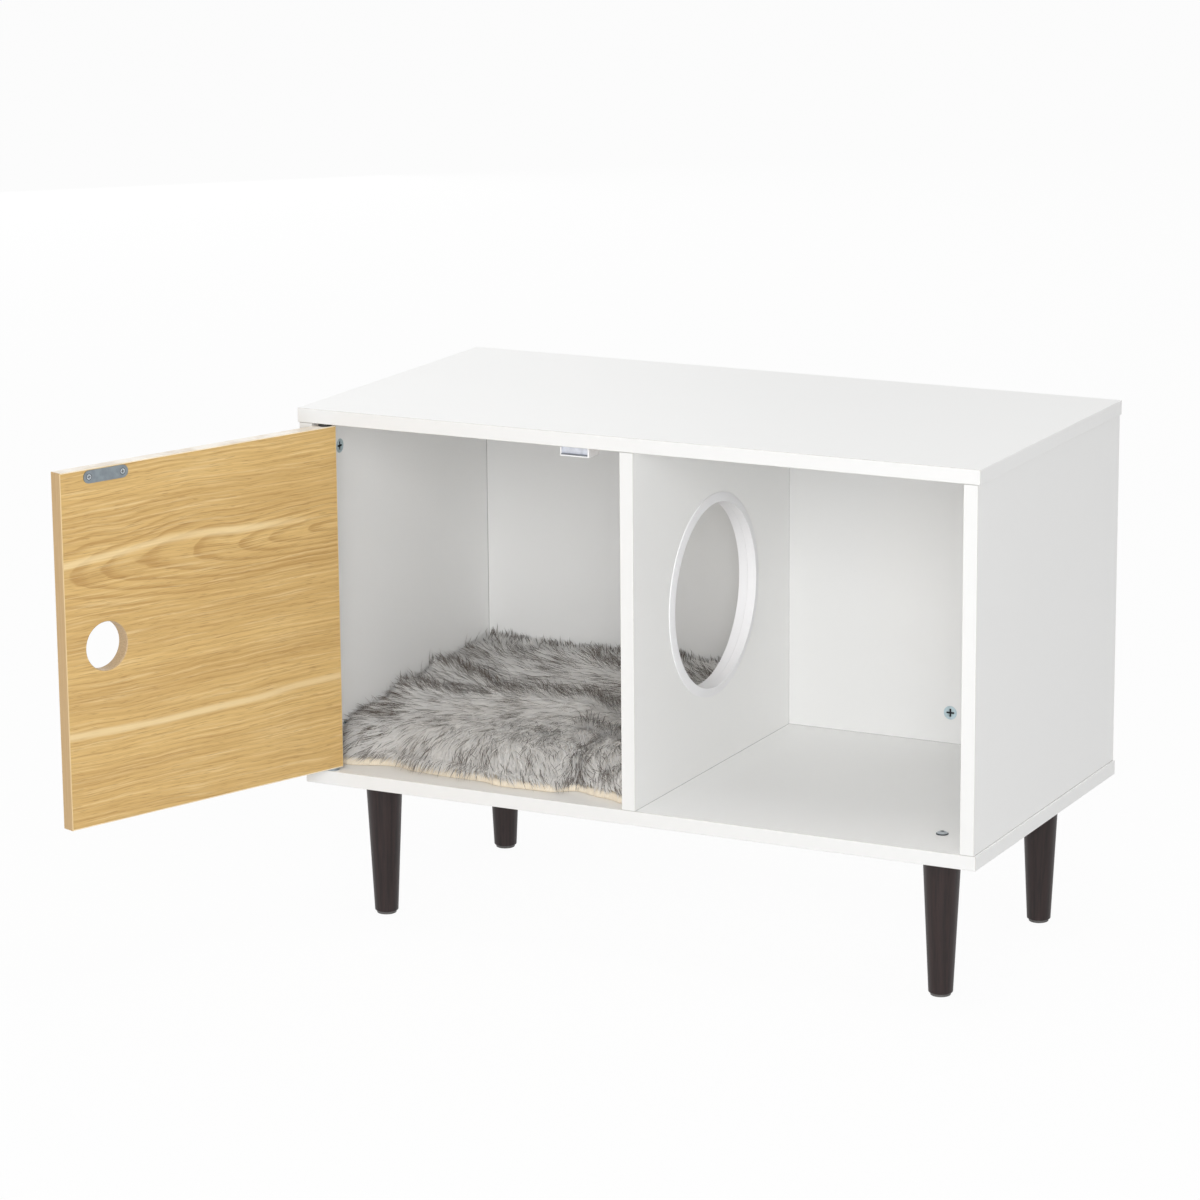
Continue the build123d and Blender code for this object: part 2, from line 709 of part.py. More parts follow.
# Fur mat: a front and a rear swell with the long fold between them
with BuildPart() as fur_mat:
    base = bay_floor + backing_height
    for x, station in zip(station_xs, mat_stations):
        setback, front_height, fold_share, fold_height, rear_height = station
        front = cabinet_front + setback + mat_behind_hem
        fold_point = (cabinet_front + fold_share * bay_depth, bay_floor + fold_height)
        front_foot = (front, base + mat_front_rise)
        back_foot = (mat_back, bay_floor + mat_back_rise)
        front_swell = ((front + fold_point[0]) / 2, bay_floor + front_height)
        rear_swell = ((fold_point[0] + mat_back) / 2, bay_floor + rear_height)
        with BuildSketch(Plane.YZ.offset(x)):
            with BuildLine():
                Polyline(front_foot, (front, base), (mat_back, base), back_foot)
                ThreePointArc(back_foot, rear_swell, fold_point)
                ThreePointArc(fold_point, front_swell, front_foot)
            make_face()
    loft()
fur_mat.part.label = "fur_mat"
export_step(fur_mat.part, "parts/fur_mat.step")
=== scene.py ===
import json
from math import cos, pi, radians, sin

import bmesh
import bpy
import numpy as np
from bpy.props import FloatProperty, FloatVectorProperty, IntProperty, PointerProperty
from mathutils import Matrix, Vector
from mathutils.bvhtree import BVHTree
from mathutils.noise import noise


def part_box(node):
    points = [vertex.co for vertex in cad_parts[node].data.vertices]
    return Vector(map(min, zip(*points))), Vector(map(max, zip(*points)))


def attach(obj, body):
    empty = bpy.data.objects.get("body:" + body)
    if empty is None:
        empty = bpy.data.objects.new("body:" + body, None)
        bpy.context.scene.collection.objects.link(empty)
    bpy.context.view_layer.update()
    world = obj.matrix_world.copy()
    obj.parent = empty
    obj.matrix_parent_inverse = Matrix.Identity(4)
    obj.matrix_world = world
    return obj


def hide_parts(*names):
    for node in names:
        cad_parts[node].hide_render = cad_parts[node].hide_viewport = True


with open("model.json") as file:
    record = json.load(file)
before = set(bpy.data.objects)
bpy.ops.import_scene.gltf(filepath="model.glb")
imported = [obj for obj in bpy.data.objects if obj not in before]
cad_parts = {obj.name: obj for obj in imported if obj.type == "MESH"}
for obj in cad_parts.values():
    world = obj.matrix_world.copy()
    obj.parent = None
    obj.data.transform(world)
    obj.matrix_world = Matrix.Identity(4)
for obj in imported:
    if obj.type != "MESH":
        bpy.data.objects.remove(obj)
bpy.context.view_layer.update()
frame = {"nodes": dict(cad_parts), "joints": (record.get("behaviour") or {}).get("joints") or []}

bl_info = {
    "name": "Cat house side table",
    "version": (1, 0, 0),
    "blender": (4, 5, 0),
    "location": "View3D > Sidebar > Cat House",
    "description": "Finishes the cat house side table: its boards, oak door, legs, fittings and fur mat",
    "category": "Object",
}

# Everything below is in metres and in the frame's own axes. A length in millimetres is a number times mm.
mm = 0.001

# Places read from the frame
left_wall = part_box("left_side_panel")[1].x
right_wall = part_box("right_side_panel")[0].x
divider_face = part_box("divider_panel")[0].x
cabinet_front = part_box("bottom_panel")[0].y
bay_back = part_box("back_panel")[0].y
bay_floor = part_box("bottom_panel")[1].z
bay_width = divider_face - left_wall
bay_depth = bay_back - cabinet_front
hinge = next(joint for joint in frame["joints"] if joint["name"] == "door_hinge")
hinge_point = Vector(hinge["pos_m"])

# The open door's directions: from its pivots to its free edge, and out of its inner face
door_swing = radians(hinge["range_deg"][1])
door_across = Vector((cos(door_swing), -sin(door_swing), 0))
door_inward = Vector((sin(door_swing), cos(door_swing), 0))


def reach_of(node, direction):
    """The lowest and highest place of a CAD node along a direction through the hinge."""
    reaches = [(vertex.co - hinge_point).dot(direction) for vertex in frame["nodes"][node].data.vertices]
    return min(reaches), max(reaches)


door_reach = reach_of("door_side_bands", door_across)[1]
door_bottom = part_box("door_side_bands")[0].z
door_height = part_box("door_side_bands")[1].z - door_bottom
door_half = reach_of("door_side_bands", door_inward)[1]
strike_face = reach_of("strike_plate", door_inward)[1]


def srgb(red, green, blue):
    """A colour written as levels from 0 to 255, turned into linear light."""
    return tuple(((level / 255 + 0.055) / 1.055) ** 2.4 for level in (red, green, blue))


def colour(name, description, default):
    return FloatVectorProperty(
        name=name, description=description, subtype="COLOR", size=3, min=0, max=1, default=default
    )


def length(name, description, default):
    return FloatProperty(name=name, description=description, unit="LENGTH", default=default)


def share(name, description, default):
    return FloatProperty(name=name, description=description, subtype="FACTOR", min=0, max=1, default=default)


def power(name, description, default):
    return FloatProperty(name=name, description=description, unit="POWER", default=default)


class BoardLook(bpy.types.PropertyGroup):
    white: colour("White", "Colour of the melamine boards", srgb(247, 247, 246))
    # The back board is whiter than the others: partly a smoother board and partly painted light that lifts the
    # shaded back walls of the bays
    back: colour("Back board", "Colour of the smooth back board", srgb(253, 253, 252))
    shade: colour("Grain", "Colour of the lines of the embossed grain", srgb(214, 214, 210))
    # Painted shade: the edge band is greyer than the faces so that the front edges, which face the key lamp,
    # stay below white
    band: colour("Edge band", "Colour of the bands on the boards' front edges", srgb(228, 228, 227))
    seam: colour("Seam", "Colour of the fine line where the edge band meets the face", srgb(206, 204, 198))
    # The joint colour is painted shadow, in the cracks where two boards meet
    joint: colour("Joint", "Colour of the shadowed joint where two boards meet", srgb(150, 150, 146))
    seam_width: length("Seam width", "Width of those lines", 0.8 * mm)
    emboss_spacing: length("Emboss spacing", "Distance between the lines of the embossed grain", 1.6 * mm)
    emboss_stretch: FloatProperty(name="Emboss stretch", description="A line's length to width", default=22)
    emboss_depth: length("Emboss depth", "Depth of the embossed grain", 0.05 * mm)


class DoorLook(bpy.types.PropertyGroup):
    oak: colour("Oak", "Main colour of the oak faces", srgb(216, 181, 118))
    pale: colour("Pale streaks", "Colour of the pale streaks in the oak", srgb(239, 216, 168))
    late: colour("Late wood", "Colour of the dark growth lines in the oak", srgb(176, 136, 78))
    pore: colour("Pores", "Colour of the short dark pores", srgb(140, 102, 56))
    band: colour("Edge band", "Colour of the bands on the door's sides", srgb(199, 168, 124))
    # Painted highlight: the end bands are oak, but given a pale colour that stands in for the strong light on
    # the door's top end
    end_band: colour("End band", "Colour of the bands on the door's ends", srgb(247, 241, 230))
    raw_board: colour("Raw board", "Colour of the board inside the finger hole", srgb(196, 170, 134))
    chips: colour("Chips", "Colour of the dark chips in the raw board", srgb(150, 122, 88))
    ring_spacing: length("Ring spacing", "Distance between the growth lines near the heart", 6 * mm)
    heart_height: length("Heart height", "Height of the figured heart above the door's lower end", 262 * mm)


class LegLook(bpy.types.PropertyGroup):
    stain: colour("Stain", "Main colour of the stained legs", srgb(45, 32, 31))
    grain: colour("Grain", "Colour of the darker grain in the legs", srgb(31, 23, 23))
    roughness: share("Roughness", "Roughness of the satin lacquer", 0.36)


class FittingLook(bpy.types.PropertyGroup):
    zinc: colour("Zinc", "Colour of the zinc-plated fittings", srgb(158, 168, 175))
    cam: colour("Cam locks", "Colour of the cam locks' faces", srgb(200, 219, 226))
    screw: colour("Screw heads", "Colour of the screws' and leg bolts' bright heads", srgb(216, 223, 228))
    steel: colour("Steel", "Colour of the cam bolts, pins and pole plates", srgb(128, 132, 138))
    magnet: colour("Magnet", "Colour of the plated magnet", srgb(226, 230, 240))
    brass: colour("Brass", "Colour of the threaded inserts", srgb(196, 164, 96))
    # Painted shade: a dark colour put inside the screw and cam recesses and round screw heads, where shade
    # falls
    recess_shade: colour("Recess", "Colour inside screw recesses", srgb(34, 38, 42))
    white_plastic: colour("White plastic", "Colour of the pass ring and the catch", srgb(245, 245, 247))
    black: colour("Black plastic", "Colour of the bushes and the upper washer", srgb(30, 29, 29))
    grey_plastic: colour("Grey plastic", "Colour of the glides", srgb(96, 94, 92))
    beech: colour("Beech", "Colour of the wood dowels", srgb(206, 172, 128))
    flecks: colour("Beech flecks", "Colour of the flecks in the dowels", srgb(168, 130, 88))


class MatLook(bpy.types.PropertyGroup):
    pale: colour("Pale fur", "Colour of the fur near its roots", srgb(252, 251, 249))
    middle: colour("Middle fur", "Colour of the fur half way along", srgb(236, 227, 215))
    dark: colour("Dark tips", "Colour of the guard hairs' tips", srgb(78, 61, 46))
    underfur: colour("Underfur", "Colour of the dense pile between the hairs", srgb(246, 243, 239))
    cloth: colour("Backing cloth", "Colour of the cream backing", srgb(241, 231, 213))
    hair_length: length("Hair length", "Length of a full hair", 25 * mm)
    hair_width: length("Hair width", "Width of a hair at its root", 0.75 * mm)
    hair_count: IntProperty(name="Hairs per band", description="Hairs on each band of the mat", default=9600)
    bands: IntProperty(name="Bands", description="Bands of hair from front to back", default=6)
    hem_height: length("Hem height", "Height of the backing's hem", 9 * mm)


class StageLook(bpy.types.PropertyGroup):
    lens: length("Lens", "Focal length of the camera, for a 36 mm sensor", 131.37 * mm)
    sky: FloatProperty(name="Sky", description="Strength of the even light from all sides", default=0.5)
    key: power("Key lamp", "Power of the front lamp", 92)
    side: power("Side lamp", "Power of the lamp on the right", 9)
    top: power("Top lamp", "Power of the overhead lamp", 32)
    rear: power("Rear lamp", "Power of the lamp behind the table", 34)
    shadow: share("Shadow", "How much of the floor's shadow the camera sees", 0.05)


class Field:
    """A value in a node tree. Arithmetic on it adds Math nodes."""

    def __init__(self, tree, socket):
        self.tree = tree
        self.socket = socket

    def __add__(self, other):
        return maths("ADD", self, other)

    def __radd__(self, other):
        return maths("ADD", other, self)

    def __sub__(self, other):
        return maths("SUBTRACT", self, other)

    def __rsub__(self, other):
        return maths("SUBTRACT", other, self)

    def __mul__(self, other):
        return maths("MULTIPLY", self, other)

    def __rmul__(self, other):
        return maths("MULTIPLY", other, self)

    def __truediv__(self, other):
        return maths("DIVIDE", self, other)

    def __rtruediv__(self, other):
        return maths("DIVIDE", other, self)

    def __pow__(self, other):
        return maths("POWER", self, other)

    def __lt__(self, other):
        return maths("LESS_THAN", self, other)

    def __abs__(self):
        return maths("ABSOLUTE", self)


def maths(operation, *operands):
    """A Math node on fields and numbers, at least one of them a field."""
    tree = next(operand.tree for operand in operands if isinstance(operand, Field))
    node = tree.nodes.new("ShaderNodeMath")
    node.operation = operation
    for socket, operand in zip(node.inputs, operands):
        plug(tree, socket, operand)
    return Field(tree, node.outputs[0])


def plug(tree, socket, value):
    """Links a Field to a socket, or sets the socket's own value."""
    if isinstance(value, Field):
        tree.links.new(value.socket, socket)
    elif socket.type == "RGBA" and len(value) == 3:
        socket.default_value = (*value, 1)
    else:
        socket.default_value = value


class Graph:
    """A node tree that is written one node at a time."""

    def __init__(self, tree):
        self.tree = tree

    def add(self, kind, settings=None, inputs=None, output=0):
        """Adds a node: its settings first, then its sockets, by name or number. Returns one output."""
        node = self.tree.nodes.new(kind)
        for key, value in (settings or {}).items():
            setattr(node, key, value)
        for key, value in (inputs or {}).items():
            plug(self.tree, node.inputs[key], value)
        if node.outputs:
            return Field(self.tree, node.outputs[output])


class Paint(Graph):
    """A material, with the few patterns that several of its users share."""

    def __init__(self, name):
        self.material = bpy.data.materials.new(name)
        self.material.use_nodes = True
        self.material.node_tree.nodes.clear()
        super().__init__(self.material.node_tree)
        self.place = self.add("ShaderNodeTexCoord", output="Object")

    def along(self, direction, start=0.0):
        """How far the surface lies along a direction, from a start."""
        sockets = {0: self.place, 1: tuple(direction)}
        reach = self.add("ShaderNodeVectorMath", {"operation": "DOT_PRODUCT"}, sockets, output="Value")
        return reach - start

    def axes(self, start=(0.0, 0.0, 0.0)):
        """How far the surface lies along X, Y and Z, from a start."""
        return [self.along(axis, begin) for axis, begin in zip(((1, 0, 0), (0, 1, 0), (0, 0, 1)), start)]

    def vector(self, x, y, z):
        return self.add("ShaderNodeCombineXYZ", None, {0: x, 1: y, 2: z})

    def noise(self, vector, scale=1.0, detail=2.0, roughness=0.5, distortion=0.0):
        sockets = {"Vector": vector, "Scale": scale, "Detail": detail}
        sockets |= {"Roughness": roughness, "Distortion": distortion}
        return self.add("ShaderNodeTexNoise", None, sockets, output="Fac")

    def step(self, value, low, high):
        """0 below low, 1 above high and a smooth rise between them."""
        sockets = {"Value": value, "From Min": low, "From Max": high}
        return self.add("ShaderNodeMapRange", {"interpolation_type": "SMOOTHSTEP"}, sockets)

    def mix(self, factor, first, second):
        return self.add("ShaderNodeMix", {"data_type": "RGBA"}, {0: factor, 6: first, 7: second}, output=2)

    def bump(self, height, distance, strength):
        sockets = {"Height": height, "Distance": distance, "Strength": strength}
        return self.add("ShaderNodeBump", None, sockets)

    def finish(self, base, roughness=0.5, normal=None, **fixed):
        """Joins the surface's colour, roughness and bump. The other sockets have one value all over."""
        inputs = {"Base Color": base, "Roughness": roughness}
        if normal:
            inputs["Normal"] = normal
        inputs.update({name.replace("_", " "): value for name, value in fixed.items()})
        surface = self.add("ShaderNodeBsdfPrincipled", None, inputs)
        self.add("ShaderNodeOutputMaterial", None, {"Surface": surface})
        return self.material


def dress(node, material):
    """Gives a CAD node its material."""
    mesh = frame["nodes"][node].data
    mesh.materials.clear()
    mesh.materials.append(material)


# Boards


def melamine(node, grain, face_colour):
    """White melamine, embossed along one axis, with a seam round its front edge and painted shadow along its
    joints.
    """
    look = bpy.context.scene.cat_house_boards
    low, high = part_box(node)
    half = (high - low) / 2
    paint = Paint(node + "_melamine")
    x, y, z = paint.axes((low + high) / 2)
    fine = 1 / look.emboss_spacing
    coarse = fine / look.emboss_stretch
    pitch = {"X": (coarse, fine, fine), "Z": (fine, fine, coarse)}[grain]
    place = paint.vector(x * pitch[0], y * pitch[1], z * pitch[2])
    lines = paint.noise(place, detail=3, roughness=0.6, distortion=0.4)
    cloud = paint.noise(paint.place, scale=7, detail=1)
    edge = abs(x) - half.x
    end = abs(z) - half.z
    rim = maths("MAXIMUM", edge, end)
    banded = paint.step(y, -half.y + 0.08 * mm, -half.y + 0.02 * mm)
    at_seam = paint.step(y, -half.y + look.seam_width, -half.y + 0.6 * look.seam_width)
    seam = paint.step(rim, -look.seam_width, -0.4 * look.seam_width) * at_seam * (1 - banded)
    white = paint.mix(0.035 * lines + 0.03 * cloud, face_colour, look.shade)
    white = paint.mix(banded, white, look.band)
    base = paint.mix(seam * 0.8, white, look.seam)

    # An upright board meets the top and the bottom at its ends. The back board also meets the sides, and
    # the others meet the back board, the two sides on their inner faces alone.
    if grain == "Z":
        crack = -0.2 * mm
        joint = paint.step(end, -look.seam_width, crack)
        if node == "back_panel":
            upright = paint.step(edge, -look.seam_width, crack)
        else:
            behind = paint.along((0, 1, 0), bay_back)
            upright = paint.step(behind, -look.seam_width, crack)
            upright = upright * (1 - paint.step(behind, 0.1 * mm, 0.3 * mm))
            inward = {"left_side_panel": 1, "right_side_panel": -1}.get(node)
            if inward:
                upright = upright * paint.step(inward * x, 0, 1 * mm)
        # Painted shadow along the joints, where shade falls in the crack between boards
        base = paint.mix(maths("MAXIMUM", joint, upright) * 0.75, base, look.joint)
    relief = paint.bump(lines, look.emboss_depth, 0.55)
    return paint.finish(base, 0.42 + 0.14 * lines, relief)


class CATHOUSE_OT_boards(bpy.types.Operator):
    """Gives the six white boards their melamine"""

    bl_idname = "cat_house.boards"
    bl_label = "Boards"

    def execute(self, context):
        look = context.scene.cat_house_boards
        for node in ("top_panel", "bottom_panel"):
            dress(node, melamine(node, "X", look.white))
        for node in ("left_side_panel", "right_side_panel", "divider_panel"):
            dress(node, melamine(node, "Z", look.white))
        dress("back_panel", melamine("back_panel", "Z", look.back))
        return {"FINISHED"}


# Door


def oak_sheet():
    """Oak with its grain across the door, a figured heart, two pale streaks and fine pores."""
    look = bpy.context.scene.cat_house_door
    paint = Paint("oak_sheet")
    across = door_reach + hinge_point.dot(door_across) - paint.along(door_across)
    up = paint.along((0, 0, 1), door_bottom)
    through = paint.along(door_inward, hinge_point.dot(door_inward))

    drift = paint.noise(paint.vector(across * 5, up * 9, through * 30), detail=2)
    waver = paint.noise(paint.vector(across * 22, up * 30, through * 30), detail=2)
    height = up + (drift - 0.5) * (16 * mm) + (waver - 0.5) * (3 * mm)

    # Growth rings cut at a small slant: the heart's depth under the face falls from left to right
    depth = (42 * mm - across * 0.12) + (waver - 0.5) * (6 * mm)
    offset = height - look.heart_height
    ring_radius = (offset * offset + depth * depth) ** 0.5
    ring = ring_radius / look.ring_spacing + (drift - 0.5) * 1.4
    phase = maths("FRACT", ring)
    late = paint.step(phase, 0.35, 0.86) * (1 - paint.step(phase, 0.9, 1.0))
    near_heart = 1 - paint.step(abs(offset), 26 * mm, 60 * mm)

    bands = paint.noise(paint.vector(across * 1.3, height * 34, 3.0), detail=3, roughness=0.55)
    streaks = paint.noise(paint.vector(across * 9, height * 420, 7.0), detail=3, roughness=0.62)
    fibres = paint.noise(paint.vector(across * 12, height * 900, 1.0), detail=3, roughness=0.65)
    pores = paint.step(paint.noise(paint.vector(across * 50, height * 1100, 5.0), detail=1), 0.6, 0.7)

    bow = maths("SINE", across * (pi / door_reach))
    upper = abs(height - (272 * mm + bow * (7 * mm)) - (waver - 0.5) * (4 * mm))
    lower = abs(height - (98 * mm - bow * (2 * mm)) - (waver - 0.5) * (4 * mm))
    upper_streak = (1 - paint.step(upper, 1 * mm, 6 * mm)) * (1 - paint.step(across, 230 * mm, 330 * mm))
    lower_streak = 1 - paint.step(lower, 1 * mm, 5.5 * mm)
    pale = (upper_streak + lower_streak) * (0.45 + 0.75 * drift)

    tone = paint.mix(paint.step(bands, 0.36, 0.66) * 0.36, look.oak, look.late)
    tone = paint.mix(late * (0.3 + 0.45 * near_heart) * (0.3 + streaks), tone, look.late)
    tone = paint.mix(paint.step(streaks, 0.5, 0.72) * 0.5, tone, look.late)
    tone = paint.mix(paint.step(streaks, 0.5, 0.3) * 0.4, tone, look.pale)
    tone = paint.mix(paint.step(fibres, 0.52, 0.68) * 0.3, tone, look.pore)
    tone = paint.mix(pores * 0.4, tone, look.pore)
    tone = paint.mix(pale * 0.75, tone, look.pale)

    # The finger hole's wall is raw board
    hole_in_from_edge, hole_radius = 50 * mm, 25.5 * mm
    hole_across = across - hole_in_from_edge
    hole_up = up - door_height / 2
    from_hole = (hole_across * hole_across + hole_up * hole_up) ** 0.5
    in_hole = 1 - paint.step(from_hole, hole_radius, hole_radius + 0.4 * mm)
    chips = paint.noise(paint.place, scale=900, detail=3, roughness=0.7)
    raw = paint.mix(paint.step(chips, 0.4, 0.65) * 0.5, look.raw_board, look.chips)
    base = paint.mix(in_hole, tone, raw)

    relief = paint.bump(fibres * 0.5 + streaks * 0.5 - pores * 0.6, 0.05 * mm, 0.6)
    return paint.finish(base, 0.46 + 0.12 * streaks, relief, Specular_IOR_Level=0.4)


def oak_band(name, base_colour, grain):
    """An edge band with its grain along one axis, and a painted highlight where it turns the corner."""
    look = bpy.context.scene.cat_house_door
    paint = Paint(name)
    pitch = {"Z": (700, 700, 12), "ALONG": (30, 30, 900)}[grain]
    across = paint.along(door_across)
    through = paint.along(door_inward, hinge_point.dot(door_inward))
    up = paint.along((0, 0, 1))
    place = paint.vector(across * pitch[0], through * pitch[1], up * pitch[2])
    streaks = paint.noise(place, detail=3, roughness=0.6)
    fibres = paint.noise(paint.vector(across * 1400, through * 1400, up * 60), detail=2)
    # Painted highlight along the band's edges, where it turns the corner
    corner_highlight = paint.step(abs(through), door_half - 0.9 * mm, door_half - 0.3 * mm)
    tone = paint.mix(paint.step(streaks, 0.4, 0.7) * 0.35, base_colour, look.late)
    tone = paint.mix(paint.step(fibres, 0.55, 0.75) * 0.18, tone, look.pore)
    base = paint.mix(corner_highlight * 0.5, tone, look.pale)
    relief = paint.bump(streaks, 0.03 * mm, 0.5)
    return paint.finish(base, 0.42 + 0.1 * streaks, relief, Specular_IOR_Level=0.4)


class CATHOUSE_OT_door(bpy.types.Operator):
    """Gives the door its oak faces and its edge bands"""

    bl_idname = "cat_house.door"
    bl_label = "Door"

    def execute(self, context):
        look = context.scene.cat_house_door
        dress("door_panel", oak_sheet())
        dress("door_side_bands", oak_band("oak_side_band", look.band, "Z"))
        # The end bands carry a painted highlight in their pale colour
        dress("door_end_bands", oak_band("oak_end_band", look.end_band, "ALONG"))
        return {"FINISHED"}


# Legs


def stained_wood():
    look = bpy.context.scene.cat_house_legs
    paint = Paint("stained_wood")
    x, y, z = paint.axes()
    grain = paint.noise(paint.vector(x * 320, y * 320, z * 11), detail=3, roughness=0.6)
    pores = paint.step(paint.noise(paint.vector(x * 900, y * 900, z * 60), detail=1), 0.6, 0.72)
    tone = paint.mix(paint.step(grain, 0.38, 0.7), look.stain, look.grain)
    base = paint.mix(pores * 0.5, tone, look.grain)
    relief = paint.bump(grain - pores * 0.6, 0.04 * mm, 0.5)
    return paint.finish(base, look.roughness + 0.12 * grain, relief, Specular_IOR_Level=0.35)


class CATHOUSE_OT_legs(bpy.types.Operator):
    """Gives the four legs their dark stain"""

    bl_idname = "cat_house.legs"
    bl_label = "Legs"

    def execute(self, context):
        stain = stained_wood()
        for side in ("front_left", "front_right", "rear_left", "rear_right"):
            dress(side + "_leg", stain)
        return {"FINISHED"}


# Fittings


def plated(name, base_colour, rough=0.3, dark=None):
    """Bright plated metal, with painted shade in the recess colour, and less metal, where dark says."""
    look = bpy.context.scene.cat_house_fittings
    paint = Paint(name)
    brush = paint.noise(paint.place, scale=1400, detail=3, roughness=0.7)
    cloud = paint.noise(paint.place, scale=160, detail=2)
    shade = tuple(level * 0.72 for level in base_colour)
    base = paint.mix(paint.step(cloud, 0.3, 0.75) * 0.6, base_colour, shade)
    metallic = 1.0
    # Painted shade: the recess colour, and less metal, where the dark mask says
    if dark:
        recess_shade_mask = dark(paint)
        base = paint.mix(recess_shade_mask, base, look.recess_shade)
        metallic = 1 - recess_shade_mask * 0.7
    relief = paint.bump(brush, 0.02 * mm, 0.4)
    return paint.finish(base, rough + 0.12 * brush, relief, Metallic=metallic)


def plastic(name, base_colour, rough=0.4):
    """Moulded plastic with a fine spark-eroded texture."""
    paint = Paint(name)
    grit = paint.noise(paint.place, scale=1100, detail=2)
    cloud = paint.noise(paint.place, scale=30, detail=1)
    shade = tuple(level * 0.93 for level in base_colour)
    base = paint.mix(cloud * 0.4, base_colour, shade)
    relief = paint.bump(grit, 0.015 * mm, 0.5)
    return paint.finish(base, rough + 0.1 * grit, relief)


def turned_beech():
    look = bpy.context.scene.cat_house_fittings
    paint = Paint("beech")
    flecks = paint.noise(paint.vector(*[axis * 300 for axis in paint.axes()]), detail=2)
    base = paint.mix(paint.step(flecks, 0.45, 0.7) * 0.5, look.beech, look.flecks)
    return paint.finish(base, 0.6 + 0.1 * flecks, paint.bump(flecks, 0.05 * mm, 0.5))


def cam_recess_shade(paint):
    """Painted shade: 1 in the cam locks' recesses, which lie behind the faces of the boards that they are let
    into.
    """
    x, y, _z = paint.axes()
    start, end = 0.3 * mm, 0.7 * mm
    left = paint.step(x, left_wall - start, left_wall - end)
    right = paint.step(x, right_wall + start, right_wall + end)
    back = paint.step(y, bay_back + start, bay_back + end)
    return maths("MAXIMUM", maths("MAXIMUM", left, right), back)


def strike_screw_shade(paint):
    """Painted shade: 1 in the recesses of the strike plate's two screws and along the rims of their heads."""
    through = paint.along(door_inward, hinge_point.dot(door_inward))
    recess_shade = paint.step(through, strike_face - 0.15 * mm, strike_face - 0.5 * mm)
    low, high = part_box("strike_screws")
    head_radius = (high.z - low.z) / 2
    first, last = reach_of("strike_screws", door_across)
    middle = (first + last) / 2
    from_middle = paint.along(door_across, hinge_point.dot(door_across) + middle)
    across = abs(from_middle) - (last - middle - head_radius)
    up = paint.along((0, 0, 1), (low.z + high.z) / 2)
    radius = (across * across + up * up) ** 0.5
    rim = paint.step(radius, head_radius - 0.7 * mm, head_radius - 0.3 * mm)
    return maths("MAXIMUM", recess_shade, rim)


def bolt_key_shade(paint):
    """Painted shade: 1 in the hexagon sockets of the four leg bolts and along the rims of their heads."""
    low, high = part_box("leg_bolts")
    half = (high - low) / 2
    head_radius = 6.25 * mm
    x, y, _z = paint.axes((low + high) / 2)
    x = abs(x) - (half.x - head_radius)
    y = abs(y) - (half.y - head_radius)
    radius = (x * x + y * y) ** 0.5
    key = 1 - paint.step(radius, 1.9 * mm, 2.35 * mm)
    return maths("MAXIMUM", key, paint.step(radius, head_radius - 0.9 * mm, head_radius - 0.3 * mm))


class CATHOUSE_OT_fittings(bpy.types.Operator):
    """Gives the metal and plastic fittings and the dowels their materials"""

    bl_idname = "cat_house.fittings"
    bl_label = "Fittings"

    def execute(self, context):
        look = context.scene.cat_house_fittings
        finishes = {
            "strike_plate catch_screws lower_pivot_washer": plated("zinc", look.zinc),
            "cam_locks": plated("cam_zinc", look.cam, 0.3, cam_recess_shade),
            "strike_screws": plated("screw_zinc", look.screw, 0.3, strike_screw_shade),
            "cam_bolts catch_pole_plates lower_pivot_pin upper_pivot_pin": plated("steel", look.steel, 0.28),
            "leg_bolts": plated("bolt_steel", look.screw, 0.38, bolt_key_shade),
            "catch_magnet": plated("magnet_plate", look.magnet, 0.4),
            "leg_inserts": plated("brass", look.brass, 0.34),
            "catch_body left_pass_ring right_pass_ring": plastic("white_plastic", look.white_plastic, 0.34),
            "upper_pivot_washer lower_pivot_bush upper_pivot_bush": plastic("black_plastic", look.black),
            "leg_glides": plastic("grey_plastic", look.grey_plastic),
            "wood_dowels": turned_beech(),
        }
        for nodes, material in finishes.items():
            for node in nodes.split():
                dress(node, material)
        return {"FINISHED"}


# Mat. Its places are metres from the bay's left wall, from the cabinet's front and above the bay's floor.


def path(*points):
    """A line across the mat through points given in millimetres from the left wall and the front."""
    return np.array(points, float) * mm


hem_line = path(
    (0, 27), (14, 27), (66, 42), (98, 33), (140, 30), (175, 30), (202, 22), (258, 24), (283, 39), (320, 28),
    (350, 18), (356, 18),
)

# Crests of the folds, which run across the mat: the depth and width of the valley behind each, and the
# places from the left where it fades in and out
folds = (
    (path((0, 176), (28, 170), (61, 158), (86, 157), (106, 168), (128, 188), (161, 194), (190, 190),
          (222, 198), (245, 179), (270, 176), (310, 182), (356, 182)), 14 * mm, 14 * mm, -40 * mm, 420 * mm),
    (path((0, 246), (35, 240), (70, 222), (98, 204), (122, 190)), 9 * mm, 12 * mm, -40 * mm, 118 * mm),
    (path((134, 338), (158, 326), (182, 303), (212, 292), (260, 288), (310, 296), (356, 292)),
     9 * mm, 13 * mm, 142 * mm, 420 * mm),
    (path((215, 142), (245, 124), (262, 120), (280, 113), (305, 104), (330, 100), (356, 98)),
     7 * mm, 10 * mm, 232 * mm, 420 * mm),
)

# Short valleys that run back from the hem, with their depth and width
creases = (
    (path((284, 38), (277, 60), (272, 80), (275, 102)), 9 * mm, 8 * mm),
    (path((312, 46), (332, 54), (356, 60)), 6 * mm, 6 * mm),
)

